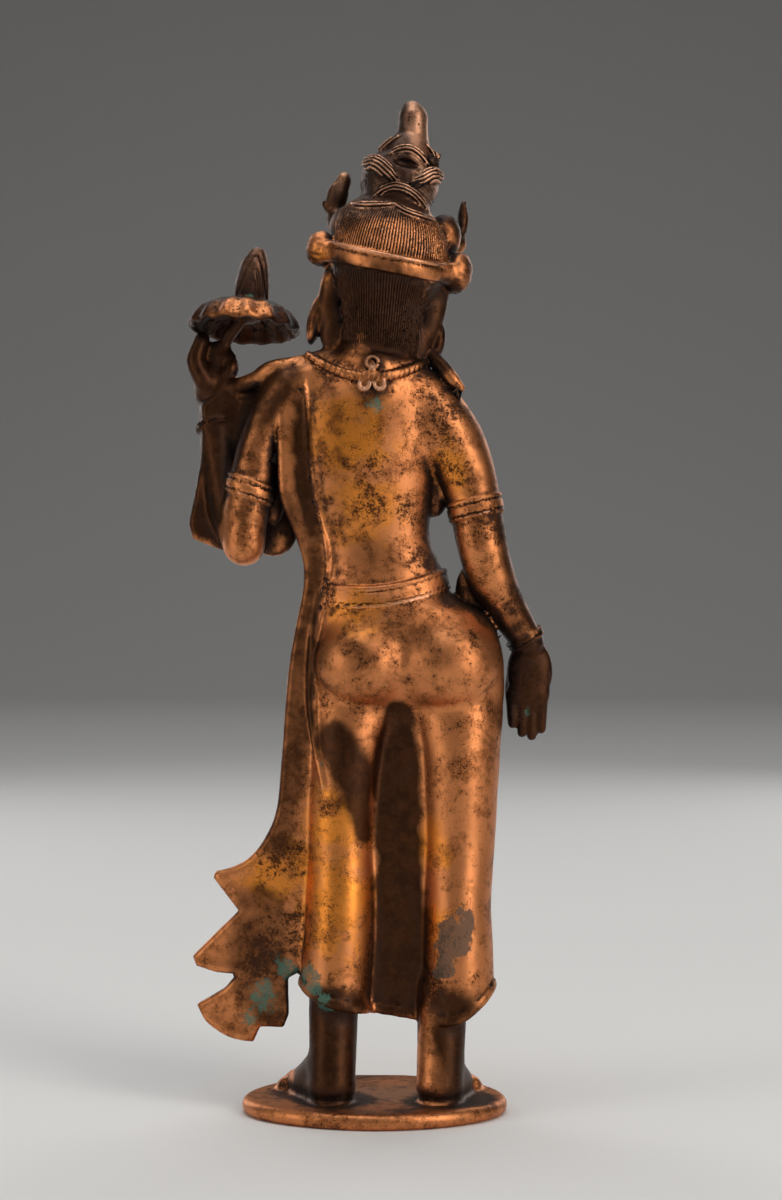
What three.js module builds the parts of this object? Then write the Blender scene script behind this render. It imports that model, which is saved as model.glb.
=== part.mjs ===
// A standing Tara figure, cast in one piece with the oval plate under its feet.
// Millimetres, +Z up. The figure faces -Y, and its back, with the long shawl, faces +Y.
// The origin is on the ground, under the middle of the plate.
//
// The casting is one flowing form, so it is described as a field: a function that gives
// the distance from a point to the surface, below zero inside the metal. Forms are joined
// with a soft fillet, marching cubes turns the field into triangles, and edge collapses
// leave only the triangles that the form needs.

import * as THREE from "three";
import { triTable } from "three/addons/objects/MarchingCubes.js";

// Driving sizes, in millimetres
const FIGURE_HEIGHT = 256; // soles to the tip of the topknot
const PLATE_WIDTH = 67.6;
const PLATE_DEPTH = 54;
const PLATE_THICKNESS = 4;
const PLATE_EDGE_RADIUS = 1.7;
const SHAWL_THICKNESS = 2.4;
const SHAWL_RIM_RADIUS = 1.5;
const BELT_HEIGHT = 6;
const BELT_RAISE = 1;
const ARMLET_HEIGHT = 5;
const ARMLET_RAISE = 0.75;
const BRACELET_RADIUS = 1;
const NECKLACE_RADIUS = 1.2;
const HEADBAND_HEIGHT = 4.8;
const HEADBAND_RAISE = 1.3;
const LOTUS_WIDTH = 29;
const LOTUS_WALL = 1.9;
const STALK_RADIUS = 1.5;
const HEM_RAISE = 0.6;

// How finely the form is cut into triangles
const CELL = FIGURE_HEIGHT / 256;
const MOST_TRIANGLES = 9400;

// The figure's own proportions are in units of 1/256 of its height, above the soles.
const UNIT = FIGURE_HEIGHT / 256;
const inUnits = (millimetres) => millimetres / UNIT;

const { lerp, clamp, degToRad } = THREE.MathUtils;
const length3 = (x, y, z) => Math.sqrt(x * x + y * y + z * z);
const FAR = 1000; // more than any distance in the figure

// Joins two distances with a fillet of about the given radius.
function join(a, b, fillet = 0) {
  const h = fillet > 0 ? Math.max(fillet - Math.abs(a - b), 0) / fillet : 0;
  return Math.min(a, b) - (h * h * fillet) / 4;
}

// The part of a that is outside b, and the part of a that is inside b.
const cutAway = (a, b, fillet = 0) => -join(-a, b, fillet);
const within = (a, b, fillet = 0) => -join(-a, -b, fillet);

// A form that is far away is only worth the distance to the ball that holds it.
function bounded([cx, cy, cz], radius, form) {
  const reach = radius + 6;
  return (x, y, z) => {
    const far = length3(x - cx, y - cy, z - cz) - radius;
    return far > reach - radius ? far : form(x, y, z);
  };
}

function ball(centre, radii) {
  const [cx, cy, cz] = centre;
  const [rx, ry, rz] = Array.isArray(radii) ? radii : [radii, radii, radii];
  return bounded(centre, Math.max(rx, ry, rz), (x, y, z) => {
    const [dx, dy, dz] = [x - cx, y - cy, z - cz];
    const share = length3(dx / rx, dy / ry, dz / rz);
    const slope = length3(dx / (rx * rx), dy / (ry * ry), dz / (rz * rz));
    return slope < 1e-6 ? -Math.min(rx, ry, rz) : (share * (share - 1)) / slope;
  });
}

// A rounded limb along a smooth curve through points [x, y, z, radius].
function limb(stations, piecesPerSpan = 4) {
  const curve = new THREE.CatmullRomCurve3(stations.map(([x, y, z]) => new THREE.Vector3(x, y, z)));
  const spans = stations.length - 1;
  const pieces = spans === 1 ? 1 : spans * piecesPerSpan;
  const at = [];
  for (let i = 0; i <= pieces; i++) {
    const along = (i / pieces) * spans;
    const from = Math.min(Math.floor(along), spans - 1);
    const radius = lerp(stations[from][3], stations[from + 1][3], along - from);
    at.push([...curve.getPoint(i / pieces).toArray(), radius]);
  }
  const box = new THREE.Box3().setFromPoints(at.map(([x, y, z]) => new THREE.Vector3(x, y, z)));
  const holds = box.getBoundingSphere(new THREE.Sphere());
  const thickest = Math.max(...at.map((p) => p[3]));
  return bounded(holds.center.toArray(), holds.radius + thickest, (x, y, z) => {
    let nearest = Infinity;
    for (let i = 0; i < pieces; i++) {
      const [ax, ay, az, ar] = at[i];
      const [bx, by, bz, br] = at[i + 1];
      const [ux, uy, uz] = [bx - ax, by - ay, bz - az];
      const dot = (x - ax) * ux + (y - ay) * uy + (z - az) * uz;
      const t = clamp(dot / (ux * ux + uy * uy + uz * uz), 0, 1);
      const away = length3(x - ax - t * ux, y - ay - t * uy, z - az - t * uz);
      nearest = Math.min(nearest, away - lerp(ar, br, t));
    }
    return nearest;
  });
}

// A smooth value that passes through [position, value, ...] rows, sorted by position.
function profile(rows) {
  const slopes = rows.map((row, i) => {
    const [before, after] = [rows[Math.max(i - 1, 0)], rows[Math.min(i + 1, rows.length - 1)]];
    return row.map((_, k) => (k ? (after[k] - before[k]) / (after[0] - before[0]) : 0));
  });
  return (position) => {
    const at = clamp(position, rows[0][0], rows[rows.length - 1][0]);
    let i = 0;
    while (i < rows.length - 2 && at > rows[i + 1][0]) i++;
    const span = rows[i + 1][0] - rows[i][0];
    const t = (at - rows[i][0]) / span;
    const [t2, t3] = [t * t, t * t * t];
    return rows[i].map(
      (value, k) =>
        (2 * t3 - 3 * t2 + 1) * value +
        (t3 - 2 * t2 + t) * span * slopes[i][k] +
        (3 * t2 - 2 * t3) * rows[i + 1][k] +
        (t3 - t2) * span * slopes[i + 1][k],
    );
  };
}

// An upright form with oval sections: rows of [z, centre x, centre y, half width, depth to
// the back, depth to the front].
function column(rows) {
  const [low, high] = [rows[0][0], rows[rows.length - 1][0]];
  const step = 0.5;
  const section = profile(rows);
  const table = [];
  for (let z = low; z <= high + step; z += step) table.push(section(z));
  return (x, y, z) => {
    const place = clamp((z - low) / step, 0, table.length - 1.001);
    const [a, b, t] = [table[Math.floor(place)], table[Math.floor(place) + 1], place % 1];
    const dx = x - lerp(a[1], b[1], t);
    const dy = y - lerp(a[2], b[2], t);
    const wide = lerp(a[3], b[3], t);
    const side = dy > 0 ? 4 : 5;
    const deep = lerp(a[side], b[side], t);
    const share = Math.sqrt((dx * dx) / (wide * wide) + (dy * dy) / (deep * deep));
    const slope = Math.sqrt((dx * dx) / wide ** 4 + (dy * dy) / deep ** 4);
    const radial = slope < 1e-6 ? -Math.min(wide, deep) : (share * (share - 1)) / slope;
    return Math.max(radial, z - high, low - z);
  };
}

// Distance in a flat plane to the outline of a THREE.Shape.
function flatOutline(shape) {
  const corners = shape.getPoints(4);
  return (u, v) => {
    let nearest = Infinity;
    let inside = false;
    for (let i = 0, j = corners.length - 1; i < corners.length; j = i++) {
      const [a, b] = [corners[i], corners[j]];
      const [eu, ev] = [b.x - a.x, b.y - a.y];
      const [wu, wv] = [u - a.x, v - a.y];
      const t = clamp((wu * eu + wv * ev) / (eu * eu + ev * ev + 1e-12), 0, 1);
      nearest = Math.min(nearest, (wu - t * eu) ** 2 + (wv - t * ev) ** 2);
      if (a.y > v !== b.y > v && u < a.x + (wv * eu) / ev) inside = !inside;
    }
    return (inside ? -1 : 1) * Math.sqrt(nearest);
  };
}

// A form that is made in a frame of its own, moved to a place and turned.
function placed(form, [px, py, pz], turn) {
  const e = turn.clone().invert().elements;
  return (x, y, z) => {
    const [dx, dy, dz] = [x - px, y - py, z - pz];
    return form(
      e[0] * dx + e[4] * dy + e[8] * dz,
      e[1] * dx + e[5] * dy + e[9] * dz,
      e[2] * dx + e[6] * dy + e[10] * dz,
    );
  };
}

const turned = (aboutX, aboutY) =>
  new THREE.Matrix4()
    .makeRotationY(degToRad(aboutY))
    .multiply(new THREE.Matrix4().makeRotationX(degToRad(aboutX)));

const allOf = (forms, fillet) => (x, y, z) => {
  let nearest = FAR;
  for (const form of forms) nearest = join(nearest, form(x, y, z), fillet);
  return nearest;
};

// Torso, from the crutch to the root of the neck
const torso = column([
  [88, -6.8, 0, 10, 3, 5],
  [95, -7, 0.4, 20, 4.4, 11],
  [101, -7.4, 0.8, 24.6, 7.8, 12.8],
  [110, -7.7, 0.8, 25.1, 11.6, 13],
  [117.5, -7.3, 0.2, 24.3, 12.7, 13],
  [121.8, -6.6, -0.2, 23, 12.6, 12.6],
  [124.5, -5.6, -0.4, 21.4, 12, 12],
  [127, -3.4, -0.6, 18.5, 11.2, 11.4],
  [130, -2.2, -0.8, 16.8, 10.3, 10.4],
  [134, -1.7, -1.1, 15.9, 9.8, 9.4],
  [137.5, -1, -1.3, 15.2, 9.4, 9],
  [142, 0.4, -1.3, 14.6, 9.2, 9],
  [147, 1.5, -1, 15.5, 9.6, 9.6],
  [154, 2.4, -0.5, 17.2, 10.3, 10.6],
  [162, 2.8, 0, 18.5, 10.8, 11.4],
  [170, 2.4, 0.3, 19.9, 11, 11.6],
  [177, 1.2, 0.8, 20.2, 10.2, 10],
  [183, 0.7, 1.2, 18, 8.4, 8],
  [188, 0.9, 1.2, 13, 7.2, 7],
  [191, 0.9, 1, 9.6, 6.5, 6],
]);
const buttocks = [
  ball([2.6, 4.2, 111], [13.2, 12.1, 12]),
  ball([-18, 4, 110.6], [14, 12.4, 12.4]),
];
const breasts = [ball([9.6, -8.6, 165.5], 7.4), ball([-6.8, -8.6, 165.5], 7.4)];

function trunk(x, y, z) {
  if (z < 80) return 88 - z;
  const seat = join(buttocks[0](x, y, z), buttocks[1](x, y, z), 0.8);
  const chest = join(breasts[0](x, y, z), breasts[1](x, y, z), 1);
  return join(join(torso(x, y, z), seat, 2.5), chest, 2.5);
}

// Skirt: a column of cloth over each leg, a sunken panel between them, and a hem that dips
// at the back.
const leftLeg = column([
  [12, 10.6, 4.6, 9, 9.6, 8.6],
  [24, 10.4, 4.4, 9, 9.8, 8.8],
  [38, 9.5, 3.6, 9, 10.2, 9.2],
  [50, 8.9, 2.6, 9, 10.4, 9.6],
  [63, 8.8, 1.4, 8.9, 9.8, 11],
  [76, 8.3, 0.8, 9.4, 10.4, 11.6],
  [89, 7.1, 0.4, 10.1, 10.9, 12],
  [100, 5.6, 0, 12.2, 10, 12.2],
  [110, 3.6, 0, 12.4, 8.4, 10.6],
  [117, 2, 0, 9, 7, 8],
]);
const rightLeg = column([
  [12, -21.3, 4.6, 9, 9.8, 8.6],
  [24, -21.3, 4.4, 9, 10, 8.8],
  [38, -21.2, 3.6, 8.9, 10.4, 9.2],
  [50, -20.9, 2.6, 8.8, 10.6, 9.6],
  [63, -21.3, 1.4, 9.2, 10, 11],
  [76, -21.5, 0.8, 9.8, 10.8, 11.6],
  [89, -21.5, 0.4, 10.6, 11.3, 12],
  [100, -20.5, 0, 12.3, 10.4, 12.2],
  [110, -19.4, 0, 12, 8.6, 10.6],
  [117, -17.6, 0, 9, 7, 8],
]);
const PANEL = { middle: -5.8, halfWidth: 8, back: 5.6, front: 6.6, top: 104 };
const centralPleat = limb([
  [-5.8, -8, 122, 2.4],
  [-6.2, -7.4, 90, 4],
  [-6.4, -6, 60, 4.4],
  [-6.6, -4, 31, 4.8],
]);
const hemAtBack = profile([
  [-31, 28.5],
  [-27, 24.4],
  [-21.7, 20.8],
  [-15.9, 19.8],
  [-10, 20.4],
  [-4.5, 21.3],
  [4, 22.8],
  [11.3, 24.6],
  [17, 27],
  [22.5, 31],
]);
const hemHeight = (x, y) => {
  const share = clamp((y + 6) / 12, 0, 1);
  return lerp(29 + 0.05 * x, hemAtBack(x)[1], share * share * (3 - 2 * share));
};

function skirt(x, y, z) {
  if (z > 122) return z - 112;
  const legs = Math.min(leftLeg(x, y, z), rightLeg(x, y, z));
  const across = Math.abs(x - PANEL.middle) - PANEL.halfWidth;
  const panel = Math.max(across, y - PANEL.back, -y - PANEL.front, z - PANEL.top);
  const cloth = join(join(legs, panel, 1.2), centralPleat(x, y, z), 1.5);
  const above = (z - hemHeight(x, y)) * 0.8;
  const border = within(cloth - inUnits(HEM_RAISE), Math.abs(above - 1) - 1, 0.6);
  return Math.min(within(cloth, -above, 0.6), border);
}

// Ankles, feet and toes, which grow out of the plate. side is 1 for the left foot.
function foot(side, ankle, heel, ballOfFoot) {
  const [hx, hy] = heel;
  const [bx, by] = ballOfFoot;
  const forms = [
    limb([[...ankle, 6.4], [lerp(ankle[0], hx, 0.6), hy - 1.6, 13, 6], [hx, hy, 4.6, 5.9]]),
    limb([[hx, hy, 3.6, 5.4], [lerp(hx, bx, 0.55), lerp(hy, by, 0.55), 3.2, 4.9], [bx, by, 1.8, 3.3]]),
    limb([[lerp(hx, bx, 0.2), hy - 3, 9, 5], [lerp(hx, bx, 0.7), lerp(hy, by, 0.7), 2.6, 4.2]]),
  ];
  const outward = Math.atan2(bx - hx, hy - by);
  for (let i = 0; i < 5; i++) {
    const across = (i - 2) * 1.9 * side;
    const reach = 3.6 - 0.5 * i;
    const [tx, ty] = [bx + across * Math.cos(outward), by + across * Math.sin(outward)];
    const radius = i === 0 ? 1.7 : 1.3;
    const tip = [tx + reach * Math.sin(outward), ty - reach * Math.cos(outward), 0.9, radius];
    forms.push(limb([[tx, ty, 1.6, radius + 0.2], tip]));
  }
  return allOf(forms, 1.4);
}
const feet = allOf(
  [
    foot(1, [10.6, 3.6, 31], [10.9, 9.8], [20.4, -7.4]),
    foot(-1, [-17.2, 4, 29], [-16.3, 9.8], [-22.2, -7.8]),
  ],
  0,
);

// Arms, and the rings round them. A ring is the skin of the arm between two planes.
const armWebs = allOf(
  [ball([-15.4, -1.4, 160], [4.4, 3.2, 11.5]), ball([-24.4, -1.2, 129], [3.8, 1.8, 7.4])],
  0,
);
const rightArm = limb([
  [-5, 0.6, 186, 5.6],
  [-15.6, 0.6, 173.6, 8.6],
  [-19.8, 0.8, 167.4, 8.4],
  [-23.4, 1, 159.6, 7.4],
  [-25.5, 1.5, 151.5, 6.6],
  [-27.4, 2.6, 141, 6.5],
  [-29.9, 1.4, 132.6, 6.1],
  [-34.2, -0.8, 124.6, 4.9],
  [-39.4, -3, 116, 4.1],
]);
const leftUpperArm = limb([
  [8, 0.4, 186, 5.6],
  [21.4, 0, 180.4, 7.4],
  [28.6, 0.6, 170, 5.6],
  [31.2, 1.4, 160, 5.7],
  [33, 2.2, 150, 5.8],
  [33.6, 2.6, 141.2, 5.2],
]);
const leftForearm = limb([
  [33.8, 1.6, 141.6, 5.1],
  [37.6, -3.4, 151, 5.8],
  [40.2, -7.4, 163, 5.2],
  [42.4, -10.2, 175.5, 4],
]);

function armRing(arm, [cx, cy, cz], direction, height, raise) {
  const [nx, ny, nz] = new THREE.Vector3(...direction).normalize().toArray();
  return (x, y, z) => {
    const along = (x - cx) * nx + (y - cy) * ny + (z - cz) * nz;
    return within(arm(x, y, z) - raise, Math.abs(along) - height / 2, 0.8);
  };
}
const armlet = [inUnits(ARMLET_HEIGHT), inUnits(ARMLET_RAISE)];
const bracelet = [2 * inUnits(BRACELET_RADIUS), inUnits(BRACELET_RADIUS)];
const rings = allOf(
  [
    armRing(rightArm, [-25.6, 1.4, 150.8], [0.22, 0, 0.97], ...armlet),
    armRing(leftUpperArm, [32.2, 1.6, 155.6], [-0.32, 0, 0.95], ...armlet),
    armRing(rightArm, [-38.6, -2.6, 117.2], [-0.5, -0.22, -0.84], ...bracelet),
    armRing(leftForearm, [42, -9.6, 172.6], [0.2, -0.25, 0.95], ...bracelet),
  ],
  0,
);

// Lowered right hand, palm to the front
function rightHand() {
  const back = ball([-39.9, -3.6, 108.6], [5.9, 2.7, 8.6]);
  const knuckles = ball([-39.4, -3.4, 103], [5.5, 2.3, 4]);
  const tips = [92.4, 90.6, 91.4, 93.8];
  const fingers = tips.map((tip, i) => {
    const x = -43.3 + 2.72 * i;
    const closing = (x + 39.3) * 0.1;
    return limb([[x, -3.8, 103, 1.5], [x - closing, -4.6, 97, 1.5], [x - closing, -5, tip + 1.3, 1.3]]);
  });
  const thumb = limb([[-36, -5.4, 109, 1.8], [-35.2, -7.2, 104, 1.6], [-35.4, -7.8, 99.5, 1.3]]);
  return allOf([back, knuckles, allOf(fingers, 0.35), thumb], 1);
}

// Raised left hand: three fingers up, the stalk between the first finger and the thumb
function leftHand() {
  const forms = [
    ball([43, -11.6, 182.6], [4.6, 4.2, 6.8]),
    ball([41.6, -12, 190.6], [3.4, 2, 4.4]),
    limb([[40.6, -13.4, 184, 2], [38.4, -15.4, 188, 1.8], [39, -13.4, 191.4, 1.6]]),
    limb([[40, -9.4, 183, 2.2], [37.6, -9.6, 187.4, 1.9], [38.2, -11.6, 190.4, 1.7]]),
  ];
  for (let i = 0; i < 3; i++) {
    const y = -8.4 - 2.9 * i;
    forms.push(limb([[44.6, y, 184, 2.6], [47, y - 0.4, 189.4, 2.5], [45.8, y - 1, 194.2 + 0.8 * i, 2]]));
  }
  return allOf(forms, 1.4);
}
const hands = allOf([rightHand(), leftHand()], 0);

// Shawl: a band over the left shoulder and down the side, a free sheet that flares into
// three points beside the skirt, and an end that hangs over the left forearm. Outlines are
// runs of [x, z] points: each run is one smooth edge, and the runs meet at corners.
const shawlInnerEdge = profile([
  [80, 13.2],
  [89, 15],
  [102, 16.5],
  [114, 16.1],
  [122, 15.2],
  [129, 13.9],
  [135, 12.8],
  [141, 13.3],
  [154, 16.2],
  [173, 17.7],
  [189, 19.2],
]);
const shawlDepth = profile([
  [10, 2.4],
  [60, 3],
  [120, 3.2],
  [134, 2.8],
  [142, 3.4],
  [154, 5.2],
  [172, 5.8],
  [182, 4.8],
  [189, 2],
]);
function outlineOf(runs) {
  const shape = new THREE.Shape();
  shape.moveTo(...runs[0][0]);
  for (const run of runs)
    if (run.length < 3) run.forEach(([x, z]) => shape.lineTo(x, z));
    else shape.splineThru(run.map(([x, z]) => new THREE.Vector2(x, z)));
  return flatOutline(shape);
}
const outerEdge = [
  [18, 184],
  [24.6, 178],
  [24.9, 165],
  [24.2, 153],
  [20, 142.5],
  [18.2, 132],
  [21.4, 114.3],
  [22.8, 101.5],
  [24.4, 80],
  [25.5, 72.4],
  [27.8, 66.7],
  [31.4, 61.7],
  [35.7, 58.8],
  [40.9, 57.3],
];
const shawlOutline = outlineOf([
  outerEdge,
  [[41.5, 55.9], [35, 47.4]],
  [[40, 42.4], [46.8, 35.6]],
  [[46, 33.2], [40.8, 31.6]],
  [[35.4, 31.2], [38.4, 27.6]],
  [[45.8, 23.2]],
  [[43.2, 18.6], [37.4, 15], [31.4, 13.9]],
  [[29.6, 17.8], [23.6, 17.8]],
  [[22.3, 21], [22.4, 30.4]],
  [[16, 34]],
  [[14, 56], [11, 80], [9, 120], [11, 150], [16, 178]],
]);
const forearmEndOutline = outlineOf([
  [[45.4, 178], [44.8, 168.8], [46.6, 155.7], [48.4, 147]],
  [[47.2, 143], [41.4, 140.8]],
  [[35, 138.4], [31, 165]],
  [[26.6, 186.6], [29.1, 187.2]],
  [[32.6, 185], [36.5, 184.6]],
]);

// A flat sheet whose rim is a little thicker than its middle
function sheet(outline, x, z, across, half, rim) {
  if (Math.abs(across) > 7) return Math.abs(across) - rim;
  const inPlane = outline(x, z);
  const [out, off] = [inPlane + half * 0.6, Math.abs(across) - half * 0.4];
  const beyond = length3(Math.max(out, 0), Math.max(off, 0), 0);
  const flat = Math.min(Math.max(out, off), 0) + beyond - half * 0.6;
  return join(flat, length3(inPlane + rim, across, 0) - rim, 0.5);
}

function shawl(x, y, z) {
  const half = inUnits(SHAWL_THICKNESS) / 2;
  const rim = inUnits(SHAWL_RIM_RADIUS);
  const tucked = 1.3 * Math.max(shawlInnerEdge(z)[1] - x, 0);
  const away = y - shawlDepth(z)[1] - 0.12 * (24 - x) + tucked;
  const hanging = sheet(shawlOutline, x, z, away * (tucked > 0 ? 0.62 : 0.98), half, rim);
  const overArm = sheet(forearmEndOutline, x, z, (y + 4 + (z - 140) * 0.1) * 0.95, half * 1.3, rim);
  const band = Math.max(torso(x, y, z) - half * 0.55, shawlInnerEdge(z)[1] - x, 126 - z, z - 189);
  return join(join(hanging, overArm, 0), band, 0.6);
}
const shawlFolds = allOf(
  [
    limb([
      [14.4, 4.9, 128, 0.9],
      [15.6, 5, 121, 1.1],
      [16.1, 5.7, 114, 1.1],
      [16.4, 5.7, 103, 1.1],
      [15.8, 6.6, 95, 1.1],
      [15, 7.4, 88.7, 1],
      [13.8, 9, 83.4, 0.9],
      [13.2, 9.8, 79.8, 0.5],
    ]),
    ball([26.4, -5, 146], [6.4, 2, 7.6]),
    ball([26.2, -1, 158], [3.4, 3, 12]),
    limb([
      [12, 1, 189.4, 2.6],
      [19, 1, 187.2, 2.8],
      [27, 0, 186, 2.6],
      [31, -3, 184, 2.2],
      [37, -8, 182.4, 2.2],
    ]),
  ],
  0.8,
);

// Belt: the skin of the trunk between two curves that dip a little to the left
const beltHeight = (x) => 127.7 + 0.0098 * (x - 4) ** 2;
function belt(x, y, z, body) {
  const half = inUnits(BELT_HEIGHT) / 2;
  const off = Math.abs(z - beltHeight(x));
  const strap = within(body - inUnits(BELT_RAISE) * 0.6, off - half, 0.6);
  const rim = length3(Math.max(body - inUnits(BELT_RAISE) * 0.3, -0.2), off - half + 0.7, 0) - 0.8;
  const underShawl = Math.min(y + 2, x - shawlInnerEdge(z)[1] - 0.6);
  return join(cutAway(join(strap, rim, 0.2), -underShawl), clasp(x, y, z), 0.6);
}
const clasp = ball([-3, -11.6, 127.6], [4, 1.8, 4]);

// Necklace: a cord that lies on the skin, high at the back and low at the front
function necklace(x, y, z, skin) {
  const share = clamp((y + 4) / 8, 0, 1);
  const lowest = lerp(171, 183.4, share);
  const rise = (189 - lowest) / 225;
  const offCurve = (z - lowest - rise * (x - 0.9) ** 2) * 0.8;
  return length3(Math.max(skin - 0.4, -0.2), offCurve, 0) - inUnits(NECKLACE_RADIUS);
}
const necklaceTrim = allOf(
  [
    ball([0.9, 9.6, 184.6], [2.4, 1.8, 1.4]),
    ball([0.9, 8.8, 187], [2, 1.5, 1.8]),
    ball([2.6, 10.6, 181.4], [1.5, 1.4, 2]),
    ball([-1, 10.8, 181.2], [1.8, 1.5, 2]),
    ball([0.9, -12.4, 167.6], [3, 1.8, 3.6]),
    limb([
      [-14, 0.4, 190, 2],
      [-17.4, 2.6, 186.4, 2],
      [-19.6, 3.8, 183.4, 2],
      [-21.9, 4.6, 181.2, 1.1],
    ]),
  ],
  0.5,
);

// Head, in a frame of its own that leans to the figure's right and looks a little down
const HEAD_PLACE = [-3.6, 0, 214];
const HEAD_TURN = turned(4, -11);
const HEADBAND_SLOPE = 0.22; // the band lies lower at the back of the head
const skull = ball([0, 1, 0], [15, 15.5, 15.5]);
const backHair = column([
  [-25, -2.2, 2.5, 8.4, 7, 5],
  [-22, -1.8, 3, 9.4, 8.6, 6],
  [-12, -0.3, 3, 10.6, 10.6, 6],
  [-2, 0.8, 3, 12, 12, 6],
  [4, 0.8, 3, 12, 11, 6],
]);
const face = allOf(
  [
    ball([0, -4.6, -7.6], [11.4, 10.6, 14]),
    ball([0, -11.4, -18.8], [4.4, 3.6, 3.2]),
    limb([[0, -14.8, -2.2, 1.2], [0, -16.6, -7.6, 1.4], [0, -17.4, -10.6, 1.7]]),
    ball([1.7, -15.6, -11.2], 1.3),
    ball([-1.7, -15.6, -11.2], 1.3),
    limb([[1.6, -14.8, -1.8, 0.7], [5.4, -14.2, -0.2, 0.8], [9.6, -10.8, -1.6, 0.6]]),
    limb([[-1.6, -14.8, -1.8, 0.7], [-5.4, -14.2, -0.2, 0.8], [-9.6, -10.8, -1.6, 0.6]]),
    ball([4.9, -12.6, -4.4], [3, 2.3, 1.8]),
    ball([-4.9, -12.6, -4.4], [3, 2.3, 1.8]),
    limb([[-3.3, -13.7, -15, 0.6], [0, -15, -14.4, 1], [3.3, -13.7, -15, 0.6]]),
    limb([[-2.6, -13.8, -15.8, 0.6], [0, -14.6, -16.4, 1.1], [2.6, -13.8, -15.8, 0.6]]),
  ],
  0.9,
);
const mound = column([
  [-3, 0, 1, 15, 15.4, 12],
  [2, 0, 1, 15.2, 15.5, 14],
  [7.4, 0.8, 1, 14.6, 13.6, 13.6],
  [10.6, 1.6, 1, 13.4, 10.6, 12.6],
  [12.8, 1.8, 1, 11.4, 9.8, 11],
  [14.6, 1.6, 1, 9.4, 8.8, 9.4],
  [17, 1.4, 1, 8.4, 8.4, 8],
]);
const bun = ball([1.4, 0.6, 20.6], [10.2, 10, 9]);
const knob = allOf(
  [
    limb([[1, 1, 25.4, 7], [0.8, 1, 28.6, 5.6], [0.3, 0.9, 31.4, 4.4], [0.7, 0.6, 34.4, 3.6]]),
    limb([[0.8, 0.6, 34.8, 3.7], [1.2, 0.5, 37.8, 3.9], [1.8, 0.5, 39.6, 2.8]]),
  ],
  1.2,
);

// Locks that wind over the back of the topknot: [x, z] on the hair, and their half width
const LOCKS = [
  { path: [[9.6, 22.6], [7.5, 22.2], [4.3, 20.3], [1.7, 18.6]], half: [2.1, 2.4, 1.8, 0.5] },
  { path: [[-7.6, 22.9], [-6.4, 22.4], [-4.7, 20.8], [-2.3, 19.4]], half: [2.2, 2.3, 1.7, 0.5] },
  {
    path: [[5.2, 25.6], [3.2, 27.3], [0.2, 28.1], [-2.5, 27.3], [-5.2, 25.3]],
    half: [0.5, 1.1, 1.2, 1.1, 0.6],
  },
  {
    path: [[6.9, 14.1], [4.8, 16.1], [1.9, 17.2], [-1.8, 16.9], [-5.2, 15.5], [-7.4, 13.7]],
    half: [0.5, 1, 1.3, 1.3, 1.1, 0.5],
  },
  { path: [[12.2, 11.7], [9.4, 11], [5.9, 11.5], [1.3, 12.8]], half: [0.5, 1.1, 1, 0.5] },
  { path: [[0.4, 12.3], [-2.4, 11.2], [-5.6, 10.9], [-9.5, 11.6]], half: [0.5, 1.1, 1.2, 0.6] },
  { path: [[7.6, 27.2], [6.2, 29.2], [4, 31.4]], half: [0.9, 1, 0.7] },
  { path: [[6.6, 31], [5.6, 32.2], [3.6, 33.6]], half: [0.7, 0.7, 0.5] },
  { path: [[-4, 31], [-5.6, 29.4], [-6.8, 27.2]], half: [0.5, 0.8, 0.6] },
];
const LOCK_LIFT = 0.3; // share of a lock's half width between its middle line and the hair

// Where a line that comes from behind meets the form, stepping in by the distance left
function backOf(form, x, z) {
  let y = 22;
  for (let step = 0; step < 60; step++) y -= 0.7 * form(x, y, z);
  return Math.max(y, 3);
}
const underLocks = (x, y, z) => join(join(mound(x, y, z), bun(x, y, z), 1.5), knob(x, y, z), 0.5);
const locks = LOCKS.map(({ path, half }) =>
  limb(path.map(([x, z], i) => [x, backOf(underLocks, x, z) + LOCK_LIFT * half[i], z, half[i]])),
);
const topknot = allOf([...locks, knob], 0.5);
const knotHollow = ball([0.1, 10.2, 24.2], [3.8, 3.2, 1.5]);

// Rosettes over the ears, long ear rings, and the leaves of the crown
const headTrim = allOf(
  [
    limb([[12.4, 7, -1.8, 2.2], [17.6, 2.4, -0.6, 3]]),
    limb([[-12.2, 7, -1.8, 2.2], [-17, 2.4, -0.4, 3.2]]),
    ball([18, 0.6, -0.1], [3.8, 5.4, 4.6]),
    ball([-17.8, 0.8, 0.4], [3.8, 5.2, 5.5]),
    ball([12.6, -1, -10], [3.8, 3.4, 12]),
    ball([-12.6, -1, -9], [4.2, 3.4, 12]),
    ball([10.4, -0.4, -19], [4, 3, 7]),
    ball([-10.6, -0.4, -19], [4, 3, 7]),
    ball([16, -2.4, -18.2], [2, 3.8, 6.4]),
    ball([-14.2, -1.6, -17.6], [3.9, 2.4, 6.2]),
    ball([15.4, -8, 9.8], [3, 2.6, 3]),
    ball([16.9, -8.6, 16.4], [2.9, 1.8, 4.4]),
    ball([16, -8.6, 20.3], [2.1, 1.7, 2.8]),
    ball([12.6, -3.6, 7.6], [4.6, 5, 5.6]),
    ball([-15.6, -8, 9.8], [3, 2.6, 3]),
    ball([-16.7, -8.6, 14.6], [1.4, 1.6, 4.6]),
    ball([-15.9, -8.6, 18.6], [1.1, 1.4, 3.4]),
    ball([-12.2, -3.6, 9.4], [4.8, 5, 6.4]),
    ball([0, -13.4, 16], [4.4, 1.9, 9.6]),
    limb([
      [14.6, -7, 7.6, 1.7],
      [8.6, -12.4, 8, 2],
      [0, -14.8, 8.6, 2.4],
      [-8.6, -12.4, 8, 2],
      [-14.6, -7, 7.6, 1.7],
    ]),
  ],
  0.8,
);

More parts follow.
